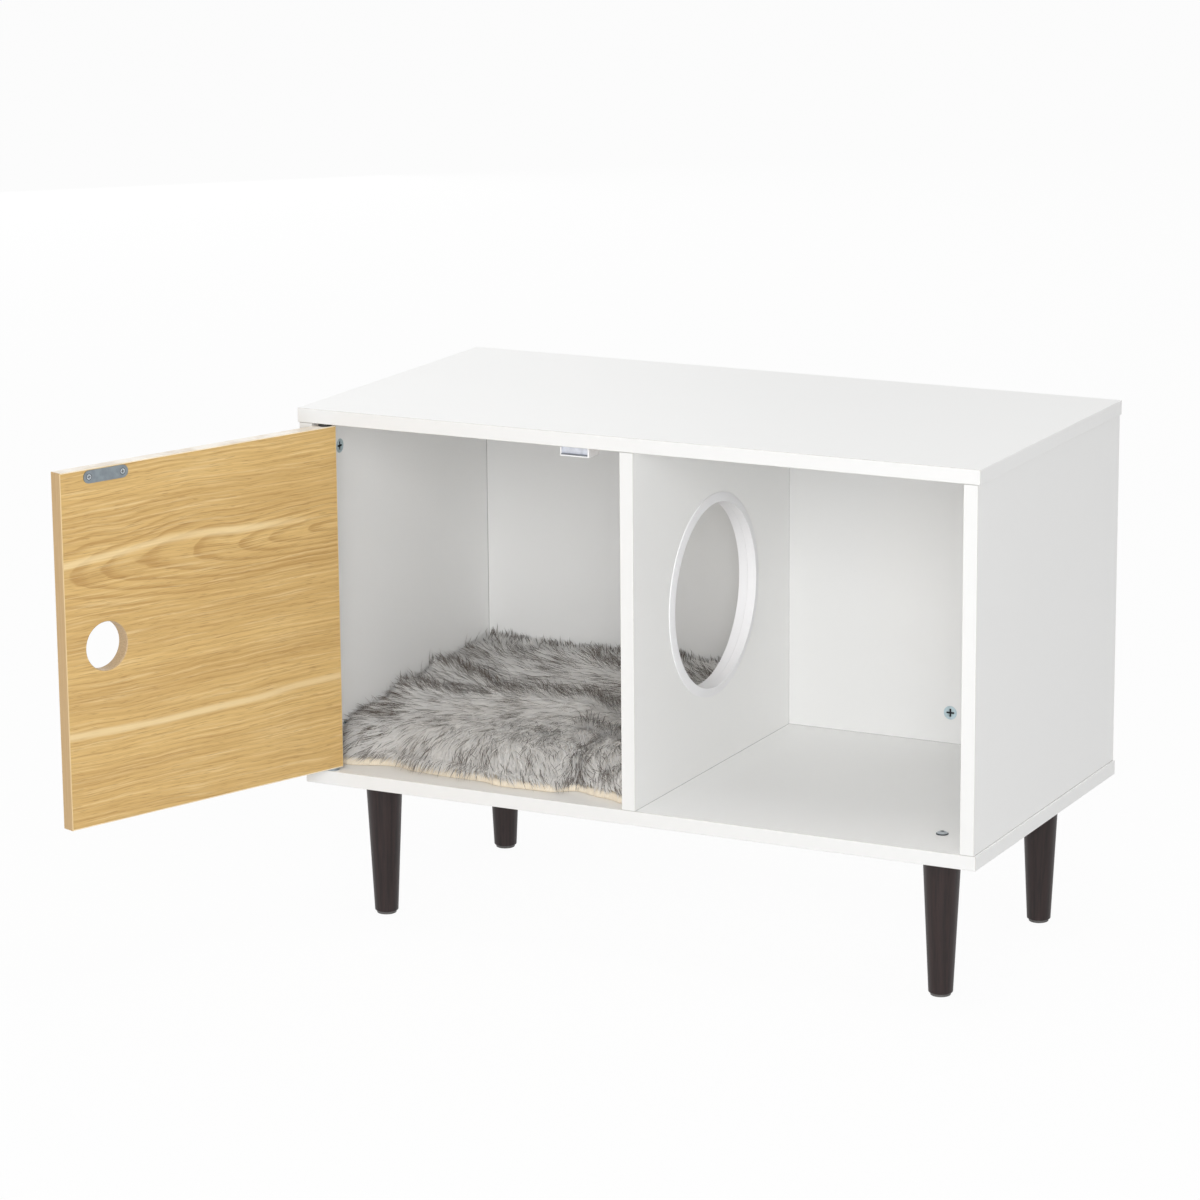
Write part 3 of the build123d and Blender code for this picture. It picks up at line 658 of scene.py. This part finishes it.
# Where the fur lies: points on the mat and the way the hairs point there, in degrees from +X
lay = (
    (15, 50, -118), (60, 70, -112), (110, 60, -98), (150, 60, -86), (200, 60, -64), (240, 60, -56),
    (300, 40, -60), (340, 40, -66), (30, 110, -140), (90, 120, -122), (150, 130, -108), (210, 120, -92),
    (270, 100, -72), (330, 90, -80), (30, 160, -172), (80, 150, -152), (130, 175, -140), (180, 180, -130),
    (240, 165, -112), (320, 160, -100), (40, 210, 178), (85, 195, -168), (30, 290, 172), (90, 280, -176),
    (150, 250, -150), (150, 300, -162), (220, 250, -124), (300, 250, -112), (220, 320, -170),
    (320, 330, -140), (40, 362, 120), (140, 362, 128), (240, 362, 112), (330, 362, 100),
)
lay_reach = 34 * mm

# The mat's gap to the walls, and how far behind the cabinet's front the closed door's inner face lies
side_gap = 0.6 * mm
door_room = 15 * mm


def ease(value):
    """A smooth rise from 0 to 1 as value goes from 0 to 1."""
    value = np.clip(value, 0, 1)
    return value * value * (3 - 2 * value)


def line_at(line, x):
    """The line's distance from the front at x, smooth through its points."""
    index = np.clip(np.searchsorted(line[:, 0], x) - 1, 0, len(line) - 2)
    start_x, start_y = np.moveaxis(line[index], -1, 0)
    end_x, end_y = np.moveaxis(line[index + 1], -1, 0)
    return start_y + (end_y - start_y) * ease((x - start_x) / (end_x - start_x))


def distance_to(line, x, y):
    """The distance from each place to the nearest point of a line."""
    place = np.stack([x, y], -1)
    nearest = np.full(x.shape, 1e9)
    for start, end in zip(line[:-1], line[1:]):
        run = end - start
        along = np.clip(((place - start) @ run) / (run @ run), 0, 1)
        nearest = np.minimum(nearest, np.linalg.norm(place - start - along[..., None] * run, axis=-1))
    return nearest


def ripple(x, y, size, seed):
    """Smooth noise from -1 to 1 whose lumps are about the given size across."""
    flat = [noise(Vector((a / size, b / size, seed))) for a, b in zip(np.ravel(x), np.ravel(y))]
    return np.reshape(flat, np.shape(x))


def behind_hem(x, y):
    return y - line_at(hem_line, x)


def near_back(y, start, run):
    """Rises to 1 over a run that begins at a distance from the back wall."""
    return ease((y - (bay_depth - start)) / run)


def bell(distance, width):
    """1 at no distance, and almost 0 from twice the width."""
    return np.exp(-((distance / width) ** 2))


def crest_shares(x, y):
    """For each fold, how much of it there is at x and how far y lies behind its crest."""
    fade = 25 * mm
    for line, depth, width, start, end in folds:
        there = ease((x - start) / fade) * (1 - ease((x - end) / fade))
        yield there, y - line_at(line, x), depth, width


def skin_height(x, y):
    """Height of the mat's skin, from which the hairs grow."""
    edge, shoulder, rounding = 8 * mm, 25 * mm, 13 * mm
    climb, climb_run = 21 * mm, 284 * mm
    back_drop, back_run = 5 * mm, 48 * mm
    behind = np.maximum(behind_hem(x, y), 0)
    height = edge + shoulder * (1 - np.exp(-behind / rounding)) + climb * (behind / climb_run) ** 0.8
    height -= back_drop * near_back(y, back_run, back_run)
    for there, past, depth, width in crest_shares(x, y):
        swell = 2.5 * mm * bell(past + 7 * mm, 10 * mm)
        height += there * (swell - depth * bell(past - 0.9 * width, width))
    for line, depth, width in creases:
        height -= depth * bell(distance_to(line, x, y), width)
    lumps = 2.6 * mm * ripple(x, y, 62 * mm, 2.5) + 1.2 * mm * ripple(x, y, 21 * mm, 8.5)
    height += ease(behind / (30 * mm)) * lumps
    return np.maximum(height, edge + 0.5 * mm)


def fur_rise(x, y):
    """How upright the hairs stand: least on the swells, most on the crests and along the back."""
    rise = 0.24 + 0.06 * ripple(x, y, 30 * mm, 4.5)
    for there, past, _depth, _width in crest_shares(x, y):
        rise += there * 0.36 * bell(past + 2 * mm, 8 * mm)
    rise += 0.4 * near_back(y, 35 * mm, 25 * mm)
    return np.clip(rise - 0.14 * (1 - ease(behind_hem(x, y) / (26 * mm))), 0.1, 1)


def fur_guards(x, y):
    """The share of dark guard hairs: high on the crests, in the creases, along the back and in patches."""
    guards = 0.07 + 0.14 * ripple(x, y, 40 * mm, 6.5) + 0.1 * ripple(x, y, 15 * mm, 3.5)
    for there, past, _depth, width in crest_shares(x, y):
        guards += there * 0.6 * bell(past + 0.05 * width, 0.5 * width)
    for line, _depth, width in creases:
        guards += 0.5 * bell(distance_to(line, x, y), width)
    guards += 0.07 * (1 - ease(behind_hem(x, y) / (140 * mm)))
    guards += 0.22 * near_back(y, 20 * mm, 16 * mm)
    return np.clip(guards, 0.04, 1)


def fur_lay(x, y):
    """The way the hairs point, as unit vectors in plan."""
    sum_x, sum_y = np.zeros(x.shape), np.zeros(x.shape)
    for at_x, at_y, degrees in lay:
        weight = np.exp(-((x - at_x * mm) ** 2 + (y - at_y * mm) ** 2) / lay_reach**2)
        sum_x += weight * cos(radians(degrees))
        sum_y += weight * sin(radians(degrees))
    size = np.maximum(np.hypot(sum_x, sum_y), 1e-9)
    return sum_x / size, sum_y / size


def in_bay(x, y, z):
    """Places on the mat, in the frame's own coordinates."""
    return np.stack([x + left_wall, y + cabinet_front, z + bay_floor], -1)


def sheet_of(name, points, material):
    """A mesh on a grid of points, facing up where the rows run back and the columns right."""
    rows, columns = points.shape[:2]
    index = np.arange(rows * columns).reshape(rows, columns)
    faces = np.stack([index[:-1, :-1], index[:-1, 1:], index[1:, 1:], index[1:, :-1]], -1).reshape(-1, 4)
    return piece_of(name, points.reshape(-1, 3), faces, material)


def piece_of(name, vertices, faces, material):
    mesh = bpy.data.meshes.new(name)
    mesh.from_pydata([tuple(v) for v in vertices], [], [tuple(int(i) for i in face) for face in faces])
    mesh.materials.append(material)
    mesh.polygons.foreach_set("use_smooth", [True] * len(mesh.polygons))
    mesh.update()
    piece = bpy.data.objects.new(name, mesh)
    bpy.context.scene.collection.objects.link(piece)
    return piece


def mat_grid(rows, low=0.0, high=1.0):
    """Plan places from the hem to the back wall, closer together at the front, where the mat is steep."""
    columns = 90
    across = np.linspace(side_gap, bay_width - side_gap, columns + 1)
    back = np.linspace(low, high, rows + 1) ** 1.5
    hem = line_at(hem_line, across) + 2 * mm
    x = np.broadcast_to(across, (rows + 1, columns + 1))
    y = hem + back[:, None] * (bay_depth - side_gap - hem)
    return x, y


def underfur():
    """Dense short pile: pale, mottled and darker where there are many guard hairs, partly their colour and
    partly painted shade in the valleys.
    """
    look = bpy.context.scene.cat_house_mat
    paint = Paint("underfur")
    guards = paint.add("ShaderNodeAttribute", {"attribute_name": "guards"}, output="Fac")
    tufts = paint.noise(paint.place, scale=420, detail=3, roughness=0.7)
    shade = paint.mix(paint.step(tufts, 0.35, 0.7) * 0.6, look.underfur, look.middle)
    base = paint.mix(guards * 0.2, shade, look.dark)
    return paint.finish(base, 0.9, paint.bump(tufts, 1.2 * mm, 0.8), Sheen_Weight=0.2, Sheen_Roughness=0.6)


def long_pile():
    """A hair's colour: pale at its root, beige along it and, where its tone is high, dark to its tip."""
    look = bpy.context.scene.cat_house_mat
    paint = Paint("long_pile")
    along = paint.add("ShaderNodeAttribute", {"attribute_name": "along"}, output="Fac")
    tone = paint.add("ShaderNodeAttribute", {"attribute_name": "tone"}, output="Fac")
    shade = paint.mix(paint.step(along, 0.1, 0.9) * (0.1 + 1.2 * tone), look.pale, look.middle)
    base = paint.mix(paint.step(along, 0.15, 0.55) * paint.step(tone, 0.35, 0.9), shade, look.dark)
    return paint.finish(base, 0.55 + 0.1 * along, Sheen_Weight=0.6, Sheen_Roughness=0.5)


def cream_cloth():
    """Cream backing cloth with fine ribs that run down over the hem."""
    look = bpy.context.scene.cat_house_mat
    paint = Paint("cream_cloth")
    x, y, z = paint.axes()
    warp = paint.noise(paint.place, scale=90, detail=1)
    rib = maths("SINE", x * (2 * pi / (1.7 * mm)) + warp * 5)
    weft = maths("SINE", (z + y) * (2 * pi / (0.9 * mm)) + warp * 3)
    fluff = paint.noise(paint.place, scale=700, detail=3, roughness=0.7)
    shade = tuple(level * factor for level, factor in zip(look.cloth, (0.8, 0.74, 0.64)))
    base = paint.mix(0.2 + 0.16 * rib + paint.step(fluff, 0.4, 0.7) * 0.3, look.cloth, shade)
    relief = paint.bump(0.5 * rib + 0.2 * weft + 0.6 * fluff, 0.25 * mm, 0.8)
    return paint.finish(base, 0.85, relief, Sheen_Weight=0.2)


class CATHOUSE_OT_mat_pad(bpy.types.Operator):
    """Makes the mat's cream backing pad, with its wavy rolled hem and hollows over the leg bolts"""

    bl_idname = "cat_house.mat_pad"
    bl_label = "Mat backing"

    def execute(self, context):
        look = context.scene.cat_house_mat
        across = np.linspace(side_gap, bay_width - side_gap, 420)
        hem = line_at(hem_line, across)
        pucker = 0.5 * mm * np.sin(across / (1.9 * mm) + 3 * ripple(across, across * 0, 14 * mm, 1.5))
        pucker += 0.9 * mm * ripple(across, across * 0, 9 * mm, 5.5)
        lift = look.hem_height * (1 + 0.16 * ripple(across, across * 0, 33 * mm, 7.5))
        back = bay_depth - side_gap
        top = look.hem_height - 0.6 * mm
        base = 0.25 * mm

        # The pad's section at each place across: up round the hem's roll, back over the top, down the
        # back and forward along the underside
        roll = ((1.6, 0.03), (0.5, 0.12), (0.0, 0.3), (-0.3, 0.55), (0.0, 0.8), (1.0, 0.97), (2.6, 1.0))
        section = []
        for inward, height in roll:
            bulge = pucker * sin(pi * min(1.0, height + 0.1))
            section.append(in_bay(across, hem + inward * mm - bulge, np.maximum(lift * height, base)))
        for part in (0.03, 0.1, 0.3, 0.6, 1.0):
            section.append(in_bay(across, hem + 4 * mm + part * (back - hem - 4 * mm), across * 0 + top))
        underside = np.linspace(1, 0, 40)
        hollow_radius = 11 * mm
        bolts = [Vector(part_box(leg)[0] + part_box(leg)[1]) / 2 for leg in ("front_left_leg", "rear_left_leg")]
        for part in underside:
            y = hem + 2.6 * mm + part * (back - hem - 2.6 * mm)
            z = across * 0 + base
            for bolt in bolts:
                away = np.hypot(across + left_wall - bolt.x, y + cabinet_front - bolt.y)
                z += 4.4 * mm * (1 - ease(away / hollow_radius))
            section.append(in_bay(across, y, z))
        points = np.stack(section + section[:1])
        pad = sheet_of("mat_pad", points, cream_cloth())
        close_shell(pad)
        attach(pad, "cabinet")
        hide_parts("mat_backing")
        return {"FINISHED"}


def close_shell(piece):
    """Merges doubled points, closes the open ends and turns the faces outwards."""
    shell = bmesh.new()
    shell.from_mesh(piece.data)
    bmesh.ops.remove_doubles(shell, verts=shell.verts, dist=0.01 * mm)
    bmesh.ops.holes_fill(shell, edges=[edge for edge in shell.edges if edge.is_boundary])
    bmesh.ops.triangulate(shell, faces=[face for face in shell.faces if len(face.verts) > 4])
    bmesh.ops.recalc_face_normals(shell, faces=shell.faces)
    for face in shell.faces:
        face.smooth = True
    shell.to_mesh(piece.data)
    shell.free()


def put_attribute(piece, name, values):
    attribute = piece.data.attributes.new(name, "FLOAT", "POINT")
    attribute.data.foreach_set("value", np.ravel(values).astype(np.float32))


def plump(pad):
    """Swells a closed pad a little, as its filling does, by a cloth simulation with air pressure inside."""
    most = 3 * mm
    frames = 20
    remesh = pad.modifiers.new("Remesh", "REMESH")
    remesh.mode = "VOXEL"
    remesh.voxel_size = 5 * mm
    depsgraph = bpy.context.evaluated_depsgraph_get()
    fine = bpy.data.meshes.new_from_object(pad.evaluated_get(depsgraph), depsgraph=depsgraph)
    pad.modifiers.clear()
    pad.data = fine
    start = np.array([vertex.co for vertex in fine.vertices])
    cloth = pad.modifiers.new("Cloth", "CLOTH")
    cloth.settings.use_pressure = True
    cloth.settings.uniform_pressure_force = 4
    cloth.settings.effector_weights.gravity = 0
    cloth.point_cache.frame_start = 1
    cloth.point_cache.frame_end = frames
    for frame_number in range(1, frames + 1):
        bpy.context.scene.frame_set(frame_number)
    depsgraph = bpy.context.evaluated_depsgraph_get()
    swollen = bpy.data.meshes.new_from_object(pad.evaluated_get(depsgraph), depsgraph=depsgraph)
    pad.modifiers.clear()
    end = np.array([vertex.co for vertex in swollen.vertices])
    bpy.context.scene.frame_set(1)
    moved = end - start
    far = np.maximum(np.linalg.norm(moved, axis=1, keepdims=True), 1e-9)
    end = start + moved * np.minimum(1, most / far)
    end[:, 0] = np.clip(end[:, 0], left_wall + side_gap, divider_face - side_gap)
    end[:, 1] = np.clip(end[:, 1], cabinet_front + door_room + 2 * mm, bay_back - side_gap)
    end[:, 2] = np.maximum(end[:, 2], start[:, 2].min())
    fine.vertices.foreach_set("co", end.ravel())
    fine.polygons.foreach_set("use_smooth", [True] * len(fine.polygons))
    fine.update()
    smooth = pad.modifiers.new("Subdivision", "SUBSURF")
    smooth.levels = smooth.render_levels = 1


class CATHOUSE_OT_fur_body(bpy.types.Operator):
    """Makes the mat's body: a closed, folded pad of dense underfur that the long hairs grow from"""

    bl_idname = "cat_house.fur_body"
    bl_label = "Mat body"

    def execute(self, context):
        look = context.scene.cat_house_mat
        x, y = mat_grid(rows=96)
        top = skin_height(x, y)
        bottom = np.full(top.shape, look.hem_height - 1.2 * mm)
        index = np.arange(top.size).reshape(top.shape)
        under = index + top.size
        faces = []
        for grid, turn in ((index, 1), (under, -1)):
            corners = np.stack([grid[:-1, :-1], grid[:-1, 1:], grid[1:, 1:], grid[1:, :-1]], -1)
            faces += list(corners.reshape(-1, 4)[:, ::turn])
        edges = [(grid[0], grid[-1], grid[:, 0], grid[:, -1]) for grid in (index, under)]
        for upper, lower in zip(*edges):
            faces += list(np.stack([upper[:-1], lower[:-1], lower[1:], upper[1:]], -1))
        points = np.concatenate([in_bay(x, y, top).reshape(-1, 3), in_bay(x, y, bottom).reshape(-1, 3)])
        body = piece_of("fur_body", points, faces, underfur())
        close_shell(body)
        plump(body)
        places = np.array([vertex.co for vertex in body.data.vertices])
        put_attribute(body, "guards", fur_guards(places[:, 0] - left_wall, places[:, 1] - cabinet_front))
        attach(body, "cabinet")
        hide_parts("fur_mat")
        return {"FINISHED"}


def hair_shape():
    """One hair of unit size: three sides and three lengths to a point. It rises along Z, leans along X."""
    steps = (0.0, 0.3, 0.64)
    widths = (1.0, 0.9, 0.62)
    vertices, shares = [], []
    for step, width in zip(steps, widths):
        lean = step**1.5
        rise = 1 - (1 - step) ** 1.7 - 0.05
        vertices += [(lean, -width / 2, rise), (lean, width / 2, rise), (lean - 0.008, 0, rise + 0.018)]
        shares += [step] * 3
    vertices.append((1.0, 0.0, 0.95))
    shares.append(1.0)
    faces = [(0, 1, 2)]
    for ring in (0, 3):
        for side in range(3):
            other = (side + 1) % 3
            faces.append((ring + side, ring + 3 + side, ring + 3 + other, ring + other))
    faces += [(6 + side, 9, 6 + (side + 1) % 3) for side in range(3)]
    mesh = bpy.data.meshes.new("hair_shape")
    mesh.from_pydata(vertices, [], faces)
    mesh.polygons.foreach_set("use_smooth", [True] * len(mesh.polygons))
    attribute = mesh.attributes.new("along", "FLOAT", "POINT")
    attribute.data.foreach_set("value", shares)
    hair = bpy.data.objects.new("hair_shape", mesh)
    close_shell(hair)
    return hair


def pile_tree():
    """Geometry Nodes that plant hairs on a skin, laid and coloured by the skin's attributes."""
    tree = bpy.data.node_groups.new("Long pile", "GeometryNodeTree")
    sockets = {
        "Skin": "NodeSocketGeometry",
        "Hair": "NodeSocketObject",
        "Hairs per square metre": "NodeSocketFloat",
        "Hair length": "NodeSocketFloat",
        "Hair width": "NodeSocketFloat",
        "Seed": "NodeSocketInt",
        "Material": "NodeSocketMaterial",
    }
    for name, kind in sockets.items():
        tree.interface.new_socket(name, in_out="INPUT", socket_type=kind)
    tree.interface.new_socket("Pile", in_out="OUTPUT", socket_type="NodeSocketGeometry")
    graph = Graph(tree)
    given = tree.nodes.new("NodeGroupInput")
    inputs = {name: Field(tree, given.outputs[name]) for name in sockets}

    planted = tree.nodes.new("GeometryNodeDistributePointsOnFaces")
    plug(tree, planted.inputs["Mesh"], inputs["Skin"])
    plug(tree, planted.inputs["Density"], inputs["Hairs per square metre"])
    plug(tree, planted.inputs["Seed"], inputs["Seed"])
    points = Field(tree, planted.outputs["Points"])
    normal = Field(tree, planted.outputs["Normal"])

    def stored(name, kind="FLOAT"):
        return graph.add("GeometryNodeInputNamedAttribute", {"data_type": kind}, {"Name": name})

    def chance(low, high, seed):
        sockets = {2: low, 3: high, "Seed": inputs["Seed"] + seed}
        return graph.add("FunctionNodeRandomValue", {"data_type": "FLOAT"}, sockets, output=1)

    place = graph.add("GeometryNodeInputPosition")

    def lumps(scale, offset):
        moved = graph.add("ShaderNodeVectorMath", {"operation": "ADD"}, {0: place, 1: (offset, 0.0, 0.0)})
        return graph.add("ShaderNodeTexNoise", None, {"Vector": moved, "Scale": scale, "Detail": 1.0})

    swirl = (lumps(70.0, 0.0) - 0.5) * 2.2 + (lumps(190.0, 5.0) - 0.5) * 1.6 + chance(-0.16, 0.16, 11)
    upright = graph.add("FunctionNodeAlignRotationToVector", {"axis": "Z"}, {"Vector": normal})
    laid = graph.add(
        "FunctionNodeAlignRotationToVector",
        {"axis": "X", "pivot_axis": "Z"},
        {"Rotation": upright, "Vector": stored("lay", "FLOAT_VECTOR")},
    )
    turn = graph.add("FunctionNodeAxisAngleToRotation", None, {"Axis": (0.0, 0.0, 1.0), "Angle": swirl})
    by_turn = {"Rotation": laid, "Rotate By": turn}
    turned = graph.add("FunctionNodeRotateRotation", {"rotation_space": "LOCAL"}, by_turn)

    # A few hairs are long guard hairs with dark tips. The rest are the pale coat.
    guard = chance(0.0, 1.0, 53) < stored("guards") * (0.2 + 1.3 * lumps(150.0, 13.0))
    size = inputs["Hair length"] * stored("length") * chance(0.72, 1.15, 23) * (0.9 + 0.2 * guard)
    rise = stored("rise") * (0.55 + 0.9 * lumps(130.0, 9.0)) * chance(0.8, 1.25, 31) * (1 + 0.3 * guard)
    lean = maths("SQRT", maths("MAXIMUM", 1.05 - rise * rise, 0.05))
    width = inputs["Hair width"] * chance(0.75, 1.2, 41) * (1 + 0.25 * guard)
    scale = graph.add("ShaderNodeCombineXYZ", None, {0: size * lean, 1: width, 2: size * rise})
    tone = guard * chance(0.8, 1.0, 61) + (1 - guard) * chance(0.0, 0.18, 67)
    toned = graph.add(
        "GeometryNodeStoreNamedAttribute",
        {"data_type": "FLOAT", "domain": "POINT"},
        {"Geometry": points, "Name": "tone", "Value": tone},
    )
    hair = graph.add("GeometryNodeObjectInfo", None, {"Object": inputs["Hair"]}, output="Geometry")
    planting = {"Points": toned, "Instance": hair, "Rotation": turned, "Scale": scale}
    placed = graph.add("GeometryNodeInstanceOnPoints", None, planting)
    whole = graph.add("GeometryNodeRealizeInstances", None, {"Geometry": placed})
    finished = graph.add("GeometryNodeSetMaterial", None, {"Geometry": whole, "Material": inputs["Material"]})
    result = tree.nodes.new("NodeGroupOutput")
    plug(tree, result.inputs["Pile"], finished)
    return tree


def grown(skin, tree, values):
    """The mesh that a Geometry Nodes tree makes of a skin, with the tree's inputs set by name."""
    modifier = skin.modifiers.new("Pile", "NODES")
    modifier.node_group = tree
    for item in tree.interface.items_tree:
        if item.in_out == "INPUT" and item.name in values:
            modifier[item.identifier] = values[item.name]
    depsgraph = bpy.context.evaluated_depsgraph_get()
    mesh = bpy.data.meshes.new_from_object(skin.evaluated_get(depsgraph), depsgraph=depsgraph)
    skin.modifiers.clear()
    return mesh


def press_inside(values, low, high):
    """Turns what would pass a wall along it: only a trace of the way past it is kept."""
    trace = 0.04
    values = np.where(values < low, low + (low - values) * trace, values)
    return np.where(values > high, high - (values - high) * trace, values)


class CATHOUSE_OT_fur_pile(bpy.types.Operator):
    """Grows the long hairs in bands from the front of the mat to its back"""

    bl_idname = "cat_house.fur_pile"
    bl_label = "Long fur"

    def execute(self, context):
        look = context.scene.cat_house_mat
        body = bpy.data.objects["fur_body"]
        surface = BVHTree.FromObject(body, bpy.context.evaluated_depsgraph_get())
        hair = hair_shape()
        tree = pile_tree()
        material = long_pile()
        limits = np.linspace(0, 1, look.bands + 1) ** 0.72
        for band in range(look.bands):
            x, y = mat_grid(18, limits[band], limits[band + 1])
            z = skin_height(x, y)
            points = in_bay(x, y, z)
            for place in points.reshape(-1, 3):
                hit = surface.ray_cast(Vector(place) + Vector((0, 0, 0.1)), Vector((0, 0, -1)))[0]
                if hit:
                    place[2] = hit.z
            skin = sheet_of(f"fur_pile_{band + 1}", points, material)
            lay_x, lay_y = fur_lay(x, y)
            way = np.stack([lay_x, lay_y, lay_x * 0], -1).astype(np.float32)
            skin.data.attributes.new("lay", "FLOAT_VECTOR", "POINT").data.foreach_set("vector", way.ravel())
            size = np.clip((z - 2 * mm) / (20 * mm), 0.4, 1) * (1 - 0.25 * near_back(y, 30 * mm, 20 * mm))
            put_attribute(skin, "length", size)
            put_attribute(skin, "rise", fur_rise(x, y) * (0.55 + 0.45 * ease(behind_hem(x, y) / (20 * mm))))
            put_attribute(skin, "guards", fur_guards(x, y))
            area = sum(face.area for face in skin.data.polygons)
            values = {
                "Hair": hair,
                "Hairs per square metre": look.hair_count / area,
                "Hair length": look.hair_length,
                "Hair width": look.hair_width,
                "Seed": 100 + band,
                "Material": material,
            }
            pile = grown(skin, tree, values)
            skin.data = pile
            places = np.zeros(len(pile.vertices) * 3, np.float32)
            pile.vertices.foreach_get("co", places)
            places = places.reshape(-1, 3)
            gap = 0.5 * mm
            tallest = 90 * mm
            places[:, 0] = press_inside(places[:, 0], left_wall + gap, divider_face - gap)
            places[:, 1] = press_inside(places[:, 1], cabinet_front + door_room + gap, bay_back - gap)
            places[:, 2] = press_inside(places[:, 2], bay_floor + gap, bay_floor + tallest)
            pile.vertices.foreach_set("co", places.ravel())
            pile.update()
            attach(skin, "cabinet")
        bpy.data.objects.remove(hair)
        return {"FINISHED"}


# Stage


def seen_directly(graph):
    """1 where the camera sees a thing, also in gloss or through glass, and 0 where it only sheds light."""
    names = ("Is Camera Ray", "Is Glossy Ray", "Is Transmission Ray")
    seen, glossy, through = [graph.add("ShaderNodeLightPath", output=name) for name in names]
    return maths("MAXIMUM", maths("MAXIMUM", seen, glossy), through)


def stage_floor():
    """A wide pale floor. The camera sees it nearly white, with a share of the table's shadow."""
    look = bpy.context.scene.cat_house_stage
    paint = Paint("stage_floor")
    matte = paint.add("ShaderNodeBsdfDiffuse", None, {"Color": (0.86, 0.86, 0.86)})
    white = paint.add("ShaderNodeEmission", None, {"Color": (1.0, 1.0, 1.0), "Strength": 1.0})
    bright = seen_directly(paint) * (1 - look.shadow)
    mixed = paint.add("ShaderNodeMixShader", None, {0: bright, 1: matte, 2: white})
    paint.add("ShaderNodeOutputMaterial", None, {"Surface": mixed})
    far, level = 40, -0.2 * mm
    corners = [(-far, -far, level), (far, -far, level), (far, far, level), (-far, far, level)]
    piece_of("stage_floor", corners, [(0, 1, 2, 3)], paint.material)


def stage_world():
    """Even light from all sides, which the camera and gloss see as white."""
    look = bpy.context.scene.cat_house_stage
    world = bpy.data.worlds.new("stage_world")
    world.use_nodes = True
    world.node_tree.nodes.clear()
    graph = Graph(world.node_tree)
    light = graph.add("ShaderNodeBackground", None, {"Color": (1.0, 1.0, 1.0), "Strength": look.sky})
    white = graph.add("ShaderNodeBackground", None, {"Color": (1.0, 1.0, 1.0), "Strength": 1.0})
    mixed = graph.add("ShaderNodeMixShader", None, {0: seen_directly(graph), 1: light, 2: white})
    graph.add("ShaderNodeOutputWorld", None, {"Surface": mixed})
    bpy.context.scene.world = world


def soft_lamp(name, place, size, watts):
    """A round lamp turned to the middle of the table."""
    target = Vector((0.05, 0.1, 0.3))
    lamp = bpy.data.lights.new(name, "AREA")
    lamp.shape = "DISK"
    lamp.size = size
    lamp.energy = watts
    piece = bpy.data.objects.new(name, lamp)
    piece.location = place
    piece.rotation_euler = (target - Vector(place)).to_track_quat("-Z", "Y").to_euler()
    bpy.context.scene.collection.objects.link(piece)


def stage_camera():
    """The camera at the photograph's place, turned by its azimuth, elevation and roll."""
    look = bpy.context.scene.cat_house_stage
    place = Matrix.Translation((1.9697, -3.8677, 1.4165))
    azimuth, elevation, roll = radians(26.986), radians(13.492), radians(-0.486)
    back = Vector((sin(azimuth) * cos(elevation), -cos(azimuth) * cos(elevation), sin(elevation)))
    level = Vector((0, 0, 1)).cross(back).normalized()
    above = back.cross(level)
    right = cos(roll) * level + sin(roll) * above
    up = cos(roll) * above - sin(roll) * level
    data = bpy.data.cameras.new("stage_camera")
    data.sensor_width = 36
    data.lens = look.lens / mm
    camera = bpy.data.objects.new("stage_camera", data)
    camera.matrix_world = place @ Matrix((right, up, back)).transposed().to_4x4()
    bpy.context.scene.collection.objects.link(camera)
    bpy.context.scene.camera = camera


class CATHOUSE_OT_stage(bpy.types.Operator):
    """Sets the floor, the lamps and the camera"""

    bl_idname = "cat_house.stage"
    bl_label = "Stage"

    def execute(self, context):
        look = context.scene.cat_house_stage
        stage_floor()
        stage_world()
        soft_lamp("key_lamp", (1.3, -3.7, 1.45), 2.4, look.key)
        soft_lamp("side_lamp", (2.3, -3.1, 1.7), 2.4, look.side)
        soft_lamp("top_lamp", (0.2, -0.2, 4.2), 2.4, look.top)
        soft_lamp("rear_lamp", (-3.6, 4.2, 1.3), 3.2, look.rear)
        stage_camera()
        context.scene.view_settings.view_transform = "Standard"
        return {"FINISHED"}


class CATHOUSE_PT_pieces(bpy.types.Panel):
    """Lists the pieces of the cat house and the stage"""

    bl_label = "Cat House"
    bl_idname = "CATHOUSE_PT_pieces"
    bl_space_type = "VIEW_3D"
    bl_region_type = "UI"
    bl_category = "Cat House"

    def draw(self, context):
        for operator in operators:
            self.layout.operator(operator.bl_idname)
        for name in looks:
            box = self.layout.box()
            group = getattr(context.scene, name)
            for key in group.bl_rna.properties.keys()[2:]:
                box.prop(group, key)


operators = (
    CATHOUSE_OT_boards,
    CATHOUSE_OT_door,
    CATHOUSE_OT_legs,
    CATHOUSE_OT_fittings,
    CATHOUSE_OT_mat_pad,
    CATHOUSE_OT_fur_body,
    CATHOUSE_OT_fur_pile,
    CATHOUSE_OT_stage,
)
looks = {
    "cat_house_boards": BoardLook,
    "cat_house_door": DoorLook,
    "cat_house_legs": LegLook,
    "cat_house_fittings": FittingLook,
    "cat_house_mat": MatLook,
    "cat_house_stage": StageLook,
}


def register():
    for name, look in looks.items():
        bpy.utils.register_class(look)
        setattr(bpy.types.Scene, name, PointerProperty(type=look))
    for cls in (*operators, CATHOUSE_PT_pieces):
        bpy.utils.register_class(cls)


def unregister():
    for cls in (CATHOUSE_PT_pieces, *reversed(operators)):
        bpy.utils.unregister_class(cls)
    for name, look in looks.items():
        delattr(bpy.types.Scene, name)
        bpy.utils.unregister_class(look)


def main():
    register()
    for operator in operators:
        group, name = operator.bl_idname.split(".")
        getattr(getattr(bpy.ops, group), name)()


if __name__ == "__main__":
    main()
